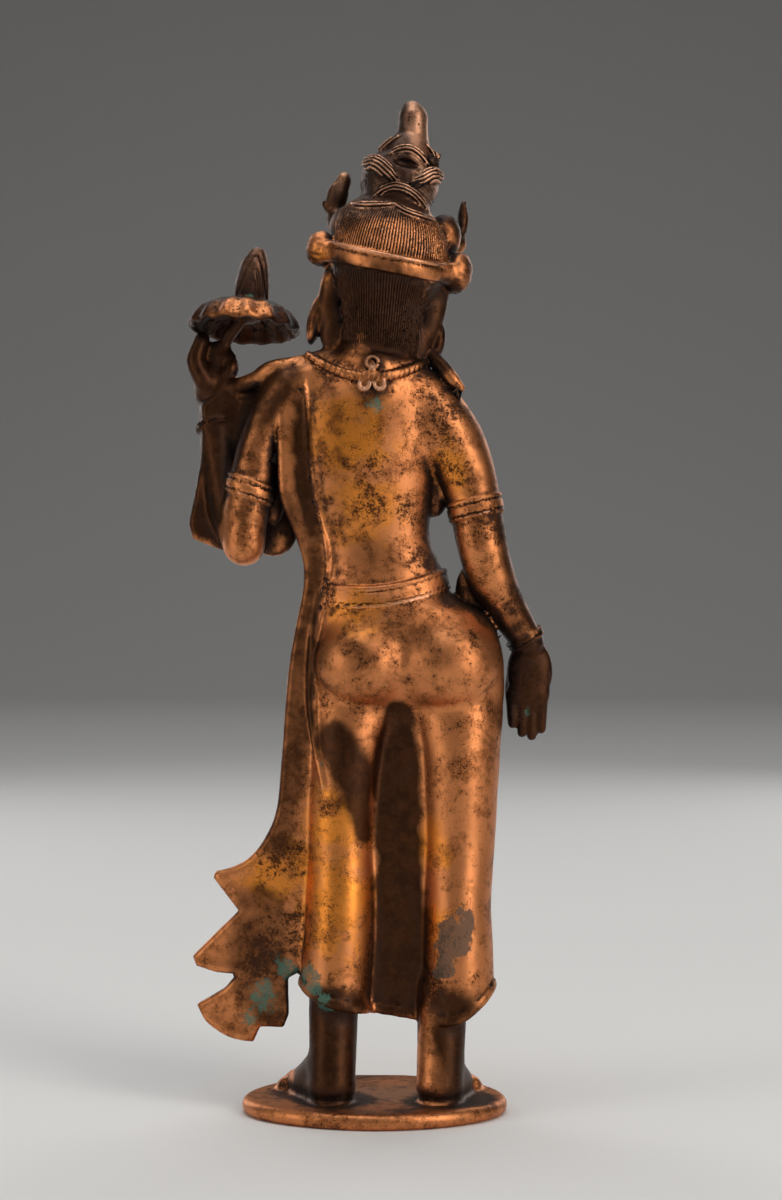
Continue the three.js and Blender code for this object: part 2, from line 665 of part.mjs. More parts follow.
function headForm(x, y, z) {
  const hair = join(skull(x, y, z), backHair(x, y, z), 1.5);
  const offBand = Math.abs(z + HEADBAND_SLOPE * y) - inUnits(HEADBAND_HEIGHT) / 2;
  const band = within(hair - inUnits(HEADBAND_RAISE), offBand, 0.7);
  const crown = join(join(hair, face(x, y, z), 2), mound(x, y, z), 1);
  const raised = join(join(crown, Math.max(band, -2 - y), 0.3), bun(x, y, z), 1.5);
  const trimmed = join(join(raised, topknot(x, y, z), 0.6), headTrim(x, y, z), 0.8);
  return cutAway(trimmed, knotHollow(x, y, z), 0.6);
}
const head = bounded([-5, 0, 222], 42, placed(headForm, HEAD_PLACE, HEAD_TURN));
const neck = limb([[1, 1, 182, 10], [0.2, 1, 193, 8.8], [-1.8, 0.6, 204, 8.6]]);

// Lotus on its stalk: a drooping cap with a waved edge, and a bud on top
const LOTUS_PLACE = [34.35, -12, 199.1];
const LOTUS_TURN = turned(9, -3.5);
const LOTUS_PETALS = 15;
const CAP_SECTION = [[0, 6.9], [0.4, 6.4], [0.66, 5.4], [0.85, 3.7], [0.95, 1.8], [1, 0.3]];
function lotusForm(x, y, z) {
  const radius = inUnits(LOTUS_WIDTH) / 2;
  const half = inUnits(LOTUS_WALL) / 2;
  const r = Math.sqrt(x * x + y * y);
  const wave = Math.cos(LOTUS_PETALS * Math.atan2(y, x)) * Math.min(r / radius, 1) ** 3;
  const out = r - 0.45 * wave;
  const up = z - 0.35 * wave;
  let nearest = FAR;
  for (let i = 1; i < CAP_SECTION.length; i++) {
    const [ar, az] = [CAP_SECTION[i - 1][0] * radius - half, CAP_SECTION[i - 1][1] - half];
    const [br, bz] = [CAP_SECTION[i][0] * radius - half, CAP_SECTION[i][1] - half];
    const [ur, uz] = [br - ar, bz - az];
    const t = clamp(((out - ar) * ur + (up - az) * uz) / (ur * ur + uz * uz), 0, 1);
    nearest = Math.min(nearest, length3(out - ar - t * ur, up - az - t * uz, 0));
  }
  const under = length3(Math.max(r - 3.4, 0), Math.max(Math.abs(z - 3.6) - 1.4, 0), 0) - 0.8;
  return join(nearest - half, under, 1.2);
}
const bud = limb([
  [32.8, -12, 204, 4.6],
  [32.4, -12, 209.5, 4.6],
  [31.8, -12, 214, 3.9],
  [31.1, -12, 217, 2.6],
]);
const stalk = limb([
  [37, -13.6, 152, inUnits(STALK_RADIUS) * 0.8],
  [40, -15, 172, inUnits(STALK_RADIUS)],
  [39, -13.4, 188, inUnits(STALK_RADIUS)],
  [39.6, -12.4, 194, inUnits(STALK_RADIUS)],
  [35.6, -12, 200.6, inUnits(STALK_RADIUS) * 1.2],
]);
const lotusReach = inUnits(LOTUS_WIDTH) / 2 + 6;
const lotusCap = bounded(LOTUS_PLACE, lotusReach, placed(lotusForm, LOTUS_PLACE, LOTUS_TURN));

function figure(x, y, z) {
  const body = trunk(x, y, z);
  let form = join(body, skirt(x, y, z), 1.6);
  form = join(form, feet(x, y, z), 0.8);
  form = join(form, neck(x, y, z), 3);
  form = join(form, join(rightArm(x, y, z), leftUpperArm(x, y, z)), 1.6);
  const skin = form;
  form = join(form, armWebs(x, y, z), 0.8);
  form = join(form, leftForearm(x, y, z), 1.2);
  form = join(form, hands(x, y, z), 1);
  form = join(form, shawl(x, y, z), 0.8);
  form = join(form, shawlFolds(x, y, z), 1);
  form = join(form, belt(x, y, z, body), 0.3);
  form = join(form, rings(x, y, z), 0.3);
  form = join(form, head(x, y, z), 1.2);
  form = join(form, necklace(x, y, z, skin), 0.3);
  form = join(form, necklaceTrim(x, y, z), 0.4);
  form = join(form, join(lotusCap(x, y, z), bud(x, y, z), 0.8), 0.4);
  return join(form, stalk(x, y, z), 0.8);
}

// Plate: a flat oval with a rounded edge, worn a little out of true
function plate(x, y, z) {
  const [wide, deep] = [PLATE_WIDTH / 2, PLATE_DEPTH / 2];
  const angle = Math.atan2(y / deep, x / wide);
  const worn = 1 + 0.012 * Math.sin(3 * angle + 0.6) + 0.008 * Math.sin(5 * angle);
  const share = Math.sqrt((x / wide) ** 2 + (y / deep) ** 2) / worn;
  const slope = Math.sqrt((x / wide ** 2) ** 2 + (y / deep ** 2) ** 2) / worn;
  const outward = slope < 1e-6 ? -deep : (share * (share - 1)) / slope;
  const half = PLATE_THICKNESS / 2;
  const edge = Math.min(PLATE_EDGE_RADIUS, half * 0.95);
  const [out, off] = [outward + edge, Math.abs(z - half) - half + edge];
  return Math.min(Math.max(out, off), 0) + length3(Math.max(out, 0), Math.max(off, 0), 0) - edge;
}

function casting(x, y, z) {
  const standing = figure(x / UNIT, y / UNIT, (z - PLATE_THICKNESS) / UNIT) * UNIT;
  return Math.max(join(standing, plate(x, y, z), 2), -z);
}

// Marching cubes over the box, skipping the blocks that the surface doesn't reach
function triangulate(field, low, high, cell) {
  const size = [0, 1, 2].map((k) => Math.ceil((high[k] - low[k]) / cell) + 1);
  const [nx, ny, nz] = size;
  const index = (i, j, k) => i + nx * (j + ny * k);
  const values = new Float32Array(nx * ny * nz).fill(FAR);
  const cells = [];
  const BLOCK = 4;
  const reach = BLOCK * cell * Math.sqrt(3) * 0.5 * 1.4;
  for (let k = 0; k < nz - 1; k += BLOCK)
    for (let j = 0; j < ny - 1; j += BLOCK)
      for (let i = 0; i < nx - 1; i += BLOCK) {
        const middle = [i, j, k].map((n, axis) => low[axis] + (n + BLOCK / 2) * cell);
        if (Math.abs(field(...middle)) > reach) continue;
        const last = [i, j, k].map((n, axis) => Math.min(n + BLOCK, size[axis] - 1));
        for (let c = k; c <= last[2]; c++)
          for (let b = j; b <= last[1]; b++)
            for (let a = i; a <= last[0]; a++) {
              const at = index(a, b, c);
              if (values[at] === FAR) {
                values[at] = field(low[0] + a * cell, low[1] + b * cell, low[2] + c * cell);
              }
              if (a < last[0] && b < last[1] && c < last[2]) cells.push([a, b, c]);
            }
      }
  const corners = [0, 1].flatMap((up) => [[0, 0, up], [1, 0, up], [1, 1, up], [0, 1, up]]);
  const edges = [
    [0, 1], [1, 2], [3, 2], [0, 3],
    [4, 5], [5, 6], [7, 6], [4, 7],
    [0, 4], [1, 5], [2, 6], [3, 7],
  ];
  const points = [];
  const triangles = [];
  const made = new Map();
  for (const [i, j, k] of cells) {
    const at = corners.map(([a, b, c]) => index(i + a, j + b, k + c));
    const kind = at.reduce((bits, id, n) => bits | (values[id] < 0 ? 1 << n : 0), 0);
    if (kind === 0 || kind === 255) continue;
    for (let n = kind * 16; triTable[n] !== -1; n++) {
      const [from, to] = edges[triTable[n]];
      const key = at[from] * 3 + corners[to].findIndex((v, axis) => v !== corners[from][axis]);
      if (!made.has(key)) {
        const t = clamp(values[at[from]] / (values[at[from]] - values[at[to]]), 0.05, 0.95);
        made.set(key, points.length / 3);
        const start = [i, j, k].map((v, axis) => v + corners[from][axis]);
        for (let axis = 0; axis < 3; axis++) {
          const stepped = start[axis] + t * (corners[to][axis] - corners[from][axis]);
          points.push(low[axis] + stepped * cell);
        }
      }
      triangles.push(made.get(key));
    }
  }
  triangles.reverse();
  return { points, triangles };
}

// Collapses the edges whose loss changes the surface least, until few enough triangles are
// left. Where weight(x, y, z) is greater, more triangles stay.
function thinOut({ points, triangles }, most, weight) {
  const count = points.length / 3;
  const facesOf = Array.from({ length: count }, () => new Set());
  const alive = new Uint8Array(triangles.length / 3).fill(1);
  const quadrics = new Float64Array(count * 10);
  const stamp = new Uint32Array(count);
  const corner = (v) => [points[3 * v], points[3 * v + 1], points[3 * v + 2]];
  const normalOf = (a, b, c) => {
    const [ux, uy, uz] = [b[0] - a[0], b[1] - a[1], b[2] - a[2]];
    const [vx, vy, vz] = [c[0] - a[0], c[1] - a[1], c[2] - a[2]];
    return [uy * vz - uz * vy, uz * vx - ux * vz, ux * vy - uy * vx];
  };
  for (let f = 0; f < alive.length; f++) {
    const ids = [triangles[3 * f], triangles[3 * f + 1], triangles[3 * f + 2]];
    const at = ids.map(corner);
    const n = normalOf(...at);
    const area = length3(...n) || 1e-12;
    const [a, b, c] = n.map((v) => v / area);
    const d = -(a * at[0][0] + b * at[0][1] + c * at[0][2]);
    const share = area * weight(...at[0]);
    const terms = [a * a, a * b, a * c, a * d, b * b, b * c, b * d, c * c, c * d, d * d];
    for (const v of ids) {
      facesOf[v].add(f);
      terms.forEach((term, i) => (quadrics[10 * v + i] += term * share));
    }
  }
  const neighbours = (v) => {
    const found = new Set();
    for (const f of facesOf[v]) for (let i = 0; i < 3; i++) found.add(triangles[3 * f + i]);
    found.delete(v);
    return found;
  };
  const costAt = (q, [x, y, z]) =>
    q[0] * x * x + 2 * q[1] * x * y + 2 * q[2] * x * z + 2 * q[3] * x + q[4] * y * y +
    2 * q[5] * y * z + 2 * q[6] * y + q[7] * z * z + 2 * q[8] * z + q[9];
  const system = new THREE.Matrix3();
  const target = (u, v) => {
    const q = new Float64Array(10);
    for (let i = 0; i < 10; i++) q[i] = quadrics[10 * u + i] + quadrics[10 * v + i];
    const [a, b] = [corner(u), corner(v)];
    const middle = a.map((value, i) => (value + b[i]) / 2);
    const options = [middle, a, b];
    system.set(q[0], q[1], q[2], q[1], q[4], q[5], q[2], q[5], q[7]);
    if (Math.abs(system.determinant()) > 1e-6 * (q[0] + q[4] + q[7]) ** 3) {
      const best = new THREE.Vector3(-q[3], -q[6], -q[8]).applyMatrix3(system.invert()).toArray();
      const span = length3(a[0] - b[0], a[1] - b[1], a[2] - b[2]);
      if (length3(...best.map((value, i) => value - middle[i])) < 2 * span) options.unshift(best);
    }
    let chosen = options[0];
    let cost = Infinity;
    for (const option of options) {
      const value = costAt(q, option) + 1e-7 * length3(...option.map((o, i) => o - middle[i]));
      if (value < cost) [cost, chosen] = [value, option];
    }
    return [cost, chosen];
  };
  const heap = [];
  const swap = (i, j) => ([heap[i], heap[j]] = [heap[j], heap[i]]);
  const push = (entry) => {
    let i = heap.push(entry) - 1;
    while (i > 0 && heap[i].cost < heap[(i - 1) >> 1].cost) {
      swap(i, (i - 1) >> 1);
      i = (i - 1) >> 1;
    }
  };
  const pop = () => {
    const first = heap[0];
    const last = heap.pop();
    if (heap.length) {
      heap[0] = last;
      for (let i = 0; ; ) {
        let least = i;
        for (const child of [2 * i + 1, 2 * i + 2])
          if (child < heap.length && heap[child].cost < heap[least].cost) least = child;
        if (least === i) break;
        swap(i, least);
        i = least;
      }
    }
    return first;
  };
  const offer = (u, v) => {
    const [cost, place] = target(u, v);
    push({ cost, place, u, v, stamps: stamp[u] + stamp[v] });
  };
  for (let v = 0; v < count; v++) for (const u of neighbours(v)) if (u > v) offer(v, u);

  let left = alive.length;
  while (left > most && heap.length) {
    const { u, v, place, stamps } = pop();
    if (stamps !== stamp[u] + stamp[v] || !facesOf[u].size || !facesOf[v].size) continue;
    const around = neighbours(v);
    if (!around.has(u)) continue;
    const shared = [...neighbours(u)].filter((w) => around.has(w));
    if (shared.length !== 2) continue;
    const lost = [...facesOf[u]].filter((f) => facesOf[v].has(f));
    const turnsOver = [u, v].some((w) =>
      [...facesOf[w]].some((f) => {
        if (lost.includes(f)) return false;
        const ids = [triangles[3 * f], triangles[3 * f + 1], triangles[3 * f + 2]];
        const before = normalOf(...ids.map(corner));
        const after = normalOf(...ids.map((id) => (id === w ? place : corner(id))));
        const dot = before[0] * after[0] + before[1] * after[1] + before[2] * after[2];
        return dot < 0.35 * length3(...before) * length3(...after) || length3(...after) < 1e-3;
      }),
    );
    if (turnsOver) continue;
    for (const f of lost) {
      alive[f] = 0;
      for (let i = 0; i < 3; i++) facesOf[triangles[3 * f + i]].delete(f);
    }
    for (const f of facesOf[v]) {
      for (let i = 0; i < 3; i++) if (triangles[3 * f + i] === v) triangles[3 * f + i] = u;
      facesOf[u].add(f);
    }
    facesOf[v].clear();
    for (let i = 0; i < 10; i++) quadrics[10 * u + i] += quadrics[10 * v + i];
    place.forEach((value, i) => (points[3 * u + i] = value));
    left -= lost.length;
    stamp[u] += 1;
    stamp[v] += 1;
    for (const w of neighbours(u)) offer(u, w);
  }
  return { points, triangles: triangles.filter((_, i) => alive[Math.floor(i / 3)]) };
}

// The head, the hands and the feet keep smaller triangles than the body.
function detail(x, y, z) {
  const up = (z - PLATE_THICKNESS) / UNIT;
  const hand = Math.abs(x / UNIT) > 35 && up > 88 && up < 200;
  const toes = up < 9 && y < 0;
  return up > 178 ? 2.2 : hand || toes ? 1.8 : 1;
}

function geometryOf({ points, triangles }) {
  const indexed = new THREE.BufferGeometry();
  indexed.setAttribute("position", new THREE.Float32BufferAttribute(points, 3));
  indexed.setIndex(triangles);
  const geometry = indexed.toNonIndexed();
  geometry.computeVertexNormals();
  return geometry;
}

const margin = 2;
const reachAcross = Math.max(52 * UNIT, PLATE_WIDTH / 2 * 1.03) + margin;
const reachDeep = Math.max(30 * UNIT, PLATE_DEPTH / 2 * 1.03) + margin;
const rough = triangulate(
  casting,
  [-reachAcross, -reachDeep, -margin - CELL * 0.37],
  [reachAcross, reachDeep, FIGURE_HEIGHT + PLATE_THICKNESS + margin],
  CELL,
);

const copper = new THREE.MeshStandardMaterial({ color: 0x8f5226, roughness: 0.38, metalness: 1 });
const figurine = new THREE.Mesh(geometryOf(thinOut(rough, MOST_TRIANGLES, detail)), copper);
figurine.name = "tara_figure";

const tara = new THREE.Group();
tara.add(figurine);

export default tara;
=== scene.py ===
"""A standing Tara figure, cast in copper with the oval plate under its feet, seen from behind.

The figure is one casting. Its form is described as a field, a function that gives the
distance from points to the surface, below zero inside the metal. A net of small squares is
laid over the field, made finer where there is hair, jewellery or an edge, and settled on it.
The sculpt is in millimetres, +Z up, and the figure faces -Y.
"""

import math

import bpy
import numpy as np
from mathutils import Euler, Matrix, Vector


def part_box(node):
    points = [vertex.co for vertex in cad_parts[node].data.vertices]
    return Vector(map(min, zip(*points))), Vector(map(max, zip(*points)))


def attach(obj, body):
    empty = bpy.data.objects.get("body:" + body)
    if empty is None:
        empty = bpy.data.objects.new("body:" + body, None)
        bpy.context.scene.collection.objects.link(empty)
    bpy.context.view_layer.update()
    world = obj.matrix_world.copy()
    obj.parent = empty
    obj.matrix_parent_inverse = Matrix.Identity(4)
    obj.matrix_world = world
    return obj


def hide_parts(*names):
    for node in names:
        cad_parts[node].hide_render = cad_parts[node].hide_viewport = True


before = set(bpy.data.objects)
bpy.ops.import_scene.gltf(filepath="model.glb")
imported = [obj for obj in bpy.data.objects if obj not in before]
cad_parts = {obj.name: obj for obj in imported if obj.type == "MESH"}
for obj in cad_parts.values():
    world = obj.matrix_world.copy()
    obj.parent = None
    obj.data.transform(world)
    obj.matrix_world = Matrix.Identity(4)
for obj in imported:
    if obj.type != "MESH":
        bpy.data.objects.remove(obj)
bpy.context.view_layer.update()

# Driving sizes, in millimetres. The frame gives the height of the casting.
MODELLED_HEIGHT = 259.9
PLATE_WIDTH = 67.6
PLATE_DEPTH = 54
PLATE_THICKNESS = 4
PLATE_EDGE_RADIUS = 1.7
SHAWL_THICKNESS = 2.4
SHAWL_RIM_RADIUS = 1.5
BELT_HEIGHT = 6
BELT_RAISE = 1
ARMLET_HEIGHT = 5
ARMLET_RAISE = 0.75
BRACELET_RADIUS = 1
NECKLACE_RADIUS = 1.2
HEADBAND_HEIGHT = 4.8
HEADBAND_RAISE = 1.3
HEADBAND_SLOPE = 0.22
LOTUS_WIDTH = 29
LOTUS_WALL = 1.9
LOTUS_PETALS = 15
STALK_RADIUS = 1.5
ROSETTE_FLUTES = 16
HEM_RAISE = 0.6
STRAND_WIDTH = 0.76
STRAND_DEPTH = 0.5
ROPE_PITCH = 1.3

SOLE_FILLET = 2

# Hair: strands in a radian of the head, widths as multiples of STRAND_WIDTH, groove depths
# as shares of STRAND_DEPTH, and how far hair lies from the middle of the head
BACK_STRANDS = 22
CROWN_STRANDS = 19.5
LOCK_STRAND = 1.2
BUN_STRAND = 1.1
BUN_GROOVES = 0.3
LOCK_GROOVES = 0.9
HAIR_REACH = 36

# Line of the necklace: lowest places in front and at the nape, ends, and half its width
NECK_MIDDLE = 0.9
NECKLACE_FRONT = 171
NECKLACE_BACK = 183.4
NECKLACE_ENDS = 189
NECKLACE_REACH = 15

# The net: its first cells and edges, in millimetres, and the box that it fills
BASE_CELL = 1.25
FINENESS = 1.25
LONGEST_EDGE = 1.4 * BASE_CELL
EDGE_SLACK = 1.45
NET_LOW = (-52.0, -30, -2)
NET_HIGH = (52.0, 30, 262)
NET_SHIFT = 0.37
EVEN_ROUNDS = 3
REFINE_ROUNDS = 4

# Blocks of cells that are looked at first, and how many block lengths the surface may be off
BLOCK = 4
BLOCK_REACH = 1.25

# Moving the points: longest steps, and the share of the way to the middle of the neighbours
SETTLE_REACH = 0.5
EVENING = 0.5
STRAY = 0.12
PULL_ROUNDS = 8
PULL_REACH = 0.4
LEAST_SLOPE = 0.3

# Edges on hair: how much of a strand one may cross, and when it is too short to split
STRAND_SHARE_PER_EDGE = 0.48
STRANDS_AT_A_PARTING = 6
SHORTEST_STRAND_EDGE = 0.25

# Tools: a slope too small to divide by, the space round a form in which it is worked out in
# full, the pieces of a limb between two of its stations, and the seed of the noise
FLAT = 1e-6
BOUND_MARGIN = 6
PIECES_PER_SPAN = 4
SEED = 5

MILLIMETRE = 0.001

cad_low, cad_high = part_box("tara_figure")
UNIT = (cad_high.z - cad_low.z) / MILLIMETRE / MODELLED_HEIGHT


# Tools for fields


def length(*parts):
    return np.sqrt(sum(part * part for part in parts))


def join(a, b, fillet=0.0):
    """Two distances joined with a fillet of about that radius."""
    nearest = np.minimum(a, b)
    if fillet:
        overlap = np.maximum(fillet - np.abs(a - b), 0) / fillet
        nearest = nearest - overlap * overlap * fillet / 4
    return nearest


def cut_away(a, b, fillet=0.0):
    return -join(-a, b, fillet)


def within(a, b, fillet):
    return -join(-a, -b, fillet)


def lerp(a, b, t):
    return a + (b - a) * t


def smooth_step(value, start, end):
    t = np.clip((value - start) / (end - start), 0, 1)
    return t * t * (3 - 2 * t)


def bounded(centre, radius, form):
    """A form that is far away is only worth the distance to the ball that holds it."""

    def field(x, y, z):
        far = length(x - centre[0], y - centre[1], z - centre[2]) - radius
        near = np.flatnonzero(far < BOUND_MARGIN)
        if near.size:
            far[near] = form(x[near], y[near], z[near])
        return far

    return field


def off_oval(share, slope, in_the_middle):
    """Distance to an oval, from a point's share of its radius and the slope of that share."""
    return np.where(slope < FLAT, in_the_middle, share * (share - 1) / np.maximum(slope, FLAT))


def ball(centre, radii):
    a, b, c = np.broadcast_to(np.asarray(radii, float), 3)
    cx, cy, cz = centre

    def form(x, y, z):
        dx, dy, dz = x - cx, y - cy, z - cz
        share = length(dx / a, dy / b, dz / c)
        slope = length(dx / a**2, dy / b**2, dz / c**2)
        return off_oval(share, slope, -min(a, b, c))

    return bounded(centre, max(a, b, c), form)


def hermite(a, b, slope_a, slope_b, t):
    t2, t3 = t * t, t * t * t
    rise = (2 * t3 - 3 * t2 + 1) * a + (3 * t2 - 2 * t3) * b
    return rise + (t3 - 2 * t2 + t) * slope_a + (t3 - t2) * slope_b


def smooth_path(points, steps):
    """Points along a centripetal Catmull-Rom curve through the given ones."""
    p = np.asarray(points, float)
    p = np.vstack([2 * p[0] - p[1], p, 2 * p[-1] - p[-2]])
    spans = len(p) - 3
    path = []
    for step in range(steps + 1):
        at = step / steps * spans
        k = min(int(at), spans - 1)
        a, b, c, d = p[k : k + 4]
        before, gap, after = (math.sqrt(np.linalg.norm(v)) for v in (b - a, c - b, d - c))
        leave = ((b - a) / before - (c - a) / (before + gap) + (c - b) / gap) * gap
        arrive = ((c - b) / gap - (d - b) / (gap + after) + (d - c) / after) * gap
        path.append(hermite(b, c, leave, arrive, at - k))
    return np.array(path)


def rod(stations):
    """The centreline of a limb as points [x, y, z, radius]."""
    stations = np.asarray(stations, float)
    spans = len(stations) - 1
    pieces = 1 if spans == 1 else spans * PIECES_PER_SPAN
    radii = np.interp(np.linspace(0, spans, pieces + 1), np.arange(spans + 1), stations[:, 3])
    return np.column_stack([smooth_path(stations[:, :3], pieces), radii])


def nearest_on(line, x, y, z):
    """Distance to a limb's skin, and the offset from its centreline, for each point."""
    nearest = np.full(x.shape, np.inf)
    offset = np.zeros((3,) + x.shape)
    for (ax, ay, az, ar), (bx, by, bz, br) in zip(line[:-1], line[1:]):
        ux, uy, uz = bx - ax, by - ay, bz - az
        dot = (x - ax) * ux + (y - ay) * uy + (z - az) * uz
        t = np.clip(dot / (ux * ux + uy * uy + uz * uz), 0, 1)
        ox, oy, oz = x - ax - t * ux, y - ay - t * uy, z - az - t * uz
        away = length(ox, oy, oz) - lerp(ar, br, t)
        closer = away < nearest
        nearest = np.where(closer, away, nearest)
        side = (ox * uz - oz * ux) / math.hypot(ux, uz, 1e-9)
        offset = np.where(closer, np.stack([ox, side, oz]), offset)
    return nearest, offset


def holding_ball(line):
    low, high = line[:, :3].min(0), line[:, :3].max(0)
    return (low + high) / 2, np.linalg.norm(high - low) / 2 + line[:, 3].max()


def limb(stations):
    line = rod(stations)
    return bounded(*holding_ball(line), lambda x, y, z: nearest_on(line, x, y, z)[0])


def profile(rows):
    """Smooth values that pass through [position, value, ...] rows, sorted by position."""
    rows = np.array(rows, float)
    at = rows[:, 0]
    here = np.arange(len(rows))
    before, after = np.maximum(here - 1, 0), np.minimum(here + 1, len(rows) - 1)
    slopes = (rows[after] - rows[before]) / (at[after] - at[before])[:, None]
    fine = np.linspace(at[0], at[-1], 16 * len(rows) + 1)
    i = np.clip(np.searchsorted(at, fine, side="right") - 1, 0, len(rows) - 2)
    span = (at[i + 1] - at[i])[:, None]
    t = (fine - at[i])[:, None] / span
    values = hermite(rows[i], rows[i + 1], slopes[i] * span, slopes[i + 1] * span, t)
    columns = values[:, 1:].T
    return lambda position: [np.interp(position, fine, column) for column in columns]


def column(rows):
    """An upright form with oval sections: rows of [z, centre x, centre y, half width, depth
    to the back, depth to the front]."""
    section = profile(rows)
    low, high = rows[0][0], rows[-1][0]

    def field(x, y, z):
        cx, cy, wide, back, front = section(z)
        dx, dy = x - cx, y - cy
        deep = np.where(dy > 0, back, front)
        share = length(dx / wide, dy / deep)
        slope = length(dx / wide**2, dy / deep**2)
        radial = off_oval(share, slope, -np.minimum(wide, deep))
        return np.maximum(radial, np.maximum(z - high, low - z))

    return field


def outline_of(runs):
    """Distance in a plane to an outline: each run of points is one smooth edge."""
    corners = [np.array(runs[0][0], float)]
    for run in runs:
        if len(run) < 3:
            corners.extend(np.array(run, float))
            continue
        through = np.vstack([corners[-1], run])
        p = np.vstack([through[0], through, through[-1]])
        steps = 4 * len(through)
        for step in range(1, steps + 1):
            at = step / steps * (len(through) - 1)
            k = min(int(at), len(through) - 2)
            a, b, c, d = p[k : k + 4]
            corners.append(hermite(b, c, (c - a) / 2, (d - b) / 2, at - k))
    corners = np.array(corners)
    step, margin = 0.3, 9
    low = corners.min(0) - margin
    count = np.ceil((corners.max(0) + margin - low) / step).astype(int) + 1
    u, v = (low[k] + step * np.arange(count[k]) for k in (0, 1))
    u, v = np.meshgrid(u, v, indexing="ij")
    nearest = np.full(u.shape, np.inf)
    inside = np.zeros(u.shape, bool)
    for a, b in zip(corners, np.roll(corners, -1, axis=0)):
        eu, ev = b - a
        wu, wv = u - a[0], v - a[1]
        t = np.clip((wu * eu + wv * ev) / (eu * eu + ev * ev + 1e-12), 0, 1)
        nearest = np.minimum(nearest, length(wu - t * eu, wv - t * ev))
        if ev:
            inside ^= ((a[1] > v) != (b[1] > v)) & (u < a[0] + wv * eu / ev)
    grid = np.where(inside, -nearest, nearest)

    def field(x, z):
        i = np.clip((x - low[0]) / step, 0, count[0] - 1.001)
        j = np.clip((z - low[1]) / step, 0, count[1] - 1.001)
        a, b = i.astype(int), j.astype(int)
        s, t = i - a, j - b
        return lerp(lerp(grid[a, b], grid[a + 1, b], s), lerp(grid[a, b + 1], grid[a + 1, b + 1], s), t)

    return field


def to_frame(x, y, z, place, back):
    dx, dy, dz = x - place[0], y - place[1], z - place[2]
    return tuple(row[0] * dx + row[1] * dy + row[2] * dz for row in back)


def turned(about_x, about_y):
    return Matrix.Rotation(math.radians(about_y), 3, "Y") @ Matrix.Rotation(math.radians(about_x), 3, "X")


def all_of(forms, fillet=0.0):
    def field(x, y, z):
        nearest = np.full(x.shape, 1e3)
        for form in forms:
            nearest = join(nearest, form(x, y, z), fillet)
        return nearest

    return field


random_values = np.random.default_rng(SEED).uniform(-1, 1, (32, 32, 32))


def noise(x, y, z, size):
    """Smooth random values from -1 to 1, in swells of about the given size."""
    cells = [np.floor(v / size).astype(int) for v in (x, y, z)]
    parts = [v / size - c for v, c in zip((x, y, z), cells)]
    s, t, u = (p * p * (3 - 2 * p) for p in parts)
    i, j, k = (c % 32 for c in cells)
    a, b, c = ((n + 1) % 32 for n in (i, j, k))

    def layer(level):
        low = lerp(random_values[i, j, level], random_values[a, j, level], s)
        high = lerp(random_values[i, b, level], random_values[a, b, level], s)
        return lerp(low, high, t)

    return lerp(layer(k), layer(c), u)


def comb(phase):
    """Depth of the grooves between combed strands, from 0 on a strand to 1."""
    return 0.5 + 0.5 * np.cos(2 * math.pi * phase)


def ring(centre, radius, thickness, tilt=0.0):
    """A ring that stands upright and faces +Y, tipped back by tilt."""

    def form(x, y, z):
        dx, dz = x - centre[0], z - centre[2]
        dy = y - centre[1] + tilt * dz
        return length(length(dx, dz) - radius, dy) - thickness

    return bounded(centre, radius + thickness + 0.5, form)


# Trunk. Places are [x, y, z] from the middle of the soles.
torso = column([
    [88, -6.8, 0, 10, 3, 5], [95, -7, 0.4, 20, 4.4, 11], [101, -7.4, 0.8, 24.6, 7.8, 12.8],
    [110, -7.7, 0.8, 25.1, 11.6, 13], [117.5, -7.3, 0.2, 24.3, 12.7, 13], [121.8, -6.6, -0.2, 23, 12.6, 12.6],
    [124.5, -5.6, -0.4, 21.4, 12, 12], [127, -3.4, -0.6, 18.5, 11.2, 11.4],
    [130, -2.2, -0.8, 16.8, 10.3, 10.4], [134, -1.7, -1.1, 15.9, 9.8, 9.4], [137.5, -1, -1.3, 15.2, 9.4, 9],
    [142, 0.4, -1.3, 14.6, 9.2, 9], [147, 1.5, -1, 15.5, 9.6, 9.6], [154, 2.4, -0.5, 17.2, 10.3, 10.6],
    [162, 2.8, 0, 18.5, 10.8, 11.4], [170, 2.4, 0.3, 19.9, 11, 11.6], [177, 1.2, 0.8, 20.2, 10.2, 10],
    [183, 0.7, 1.2, 18, 8.4, 8], [188, 0.9, 1.2, 13, 7.2, 7], [191, 0.9, 1, 9.6, 6.5, 6]
])
buttocks = [ball([2.6, 4.2, 111], [13.2, 12.1, 12]), ball([-18, 4, 110.6], [14, 12.4, 12.4])]
breasts = [ball([9.6, -8.6, 165.5], 7.4), ball([-6.8, -8.6, 165.5], 7.4)]


def trunk(x, y, z):
    seat = join(buttocks[0](x, y, z), buttocks[1](x, y, z), 0.8)
    chest = join(breasts[0](x, y, z), breasts[1](x, y, z), 1)
    whole = join(join(torso(x, y, z), seat, 2.5), chest, 2.5)
    return np.where(z < 80, 88 - z, whole)


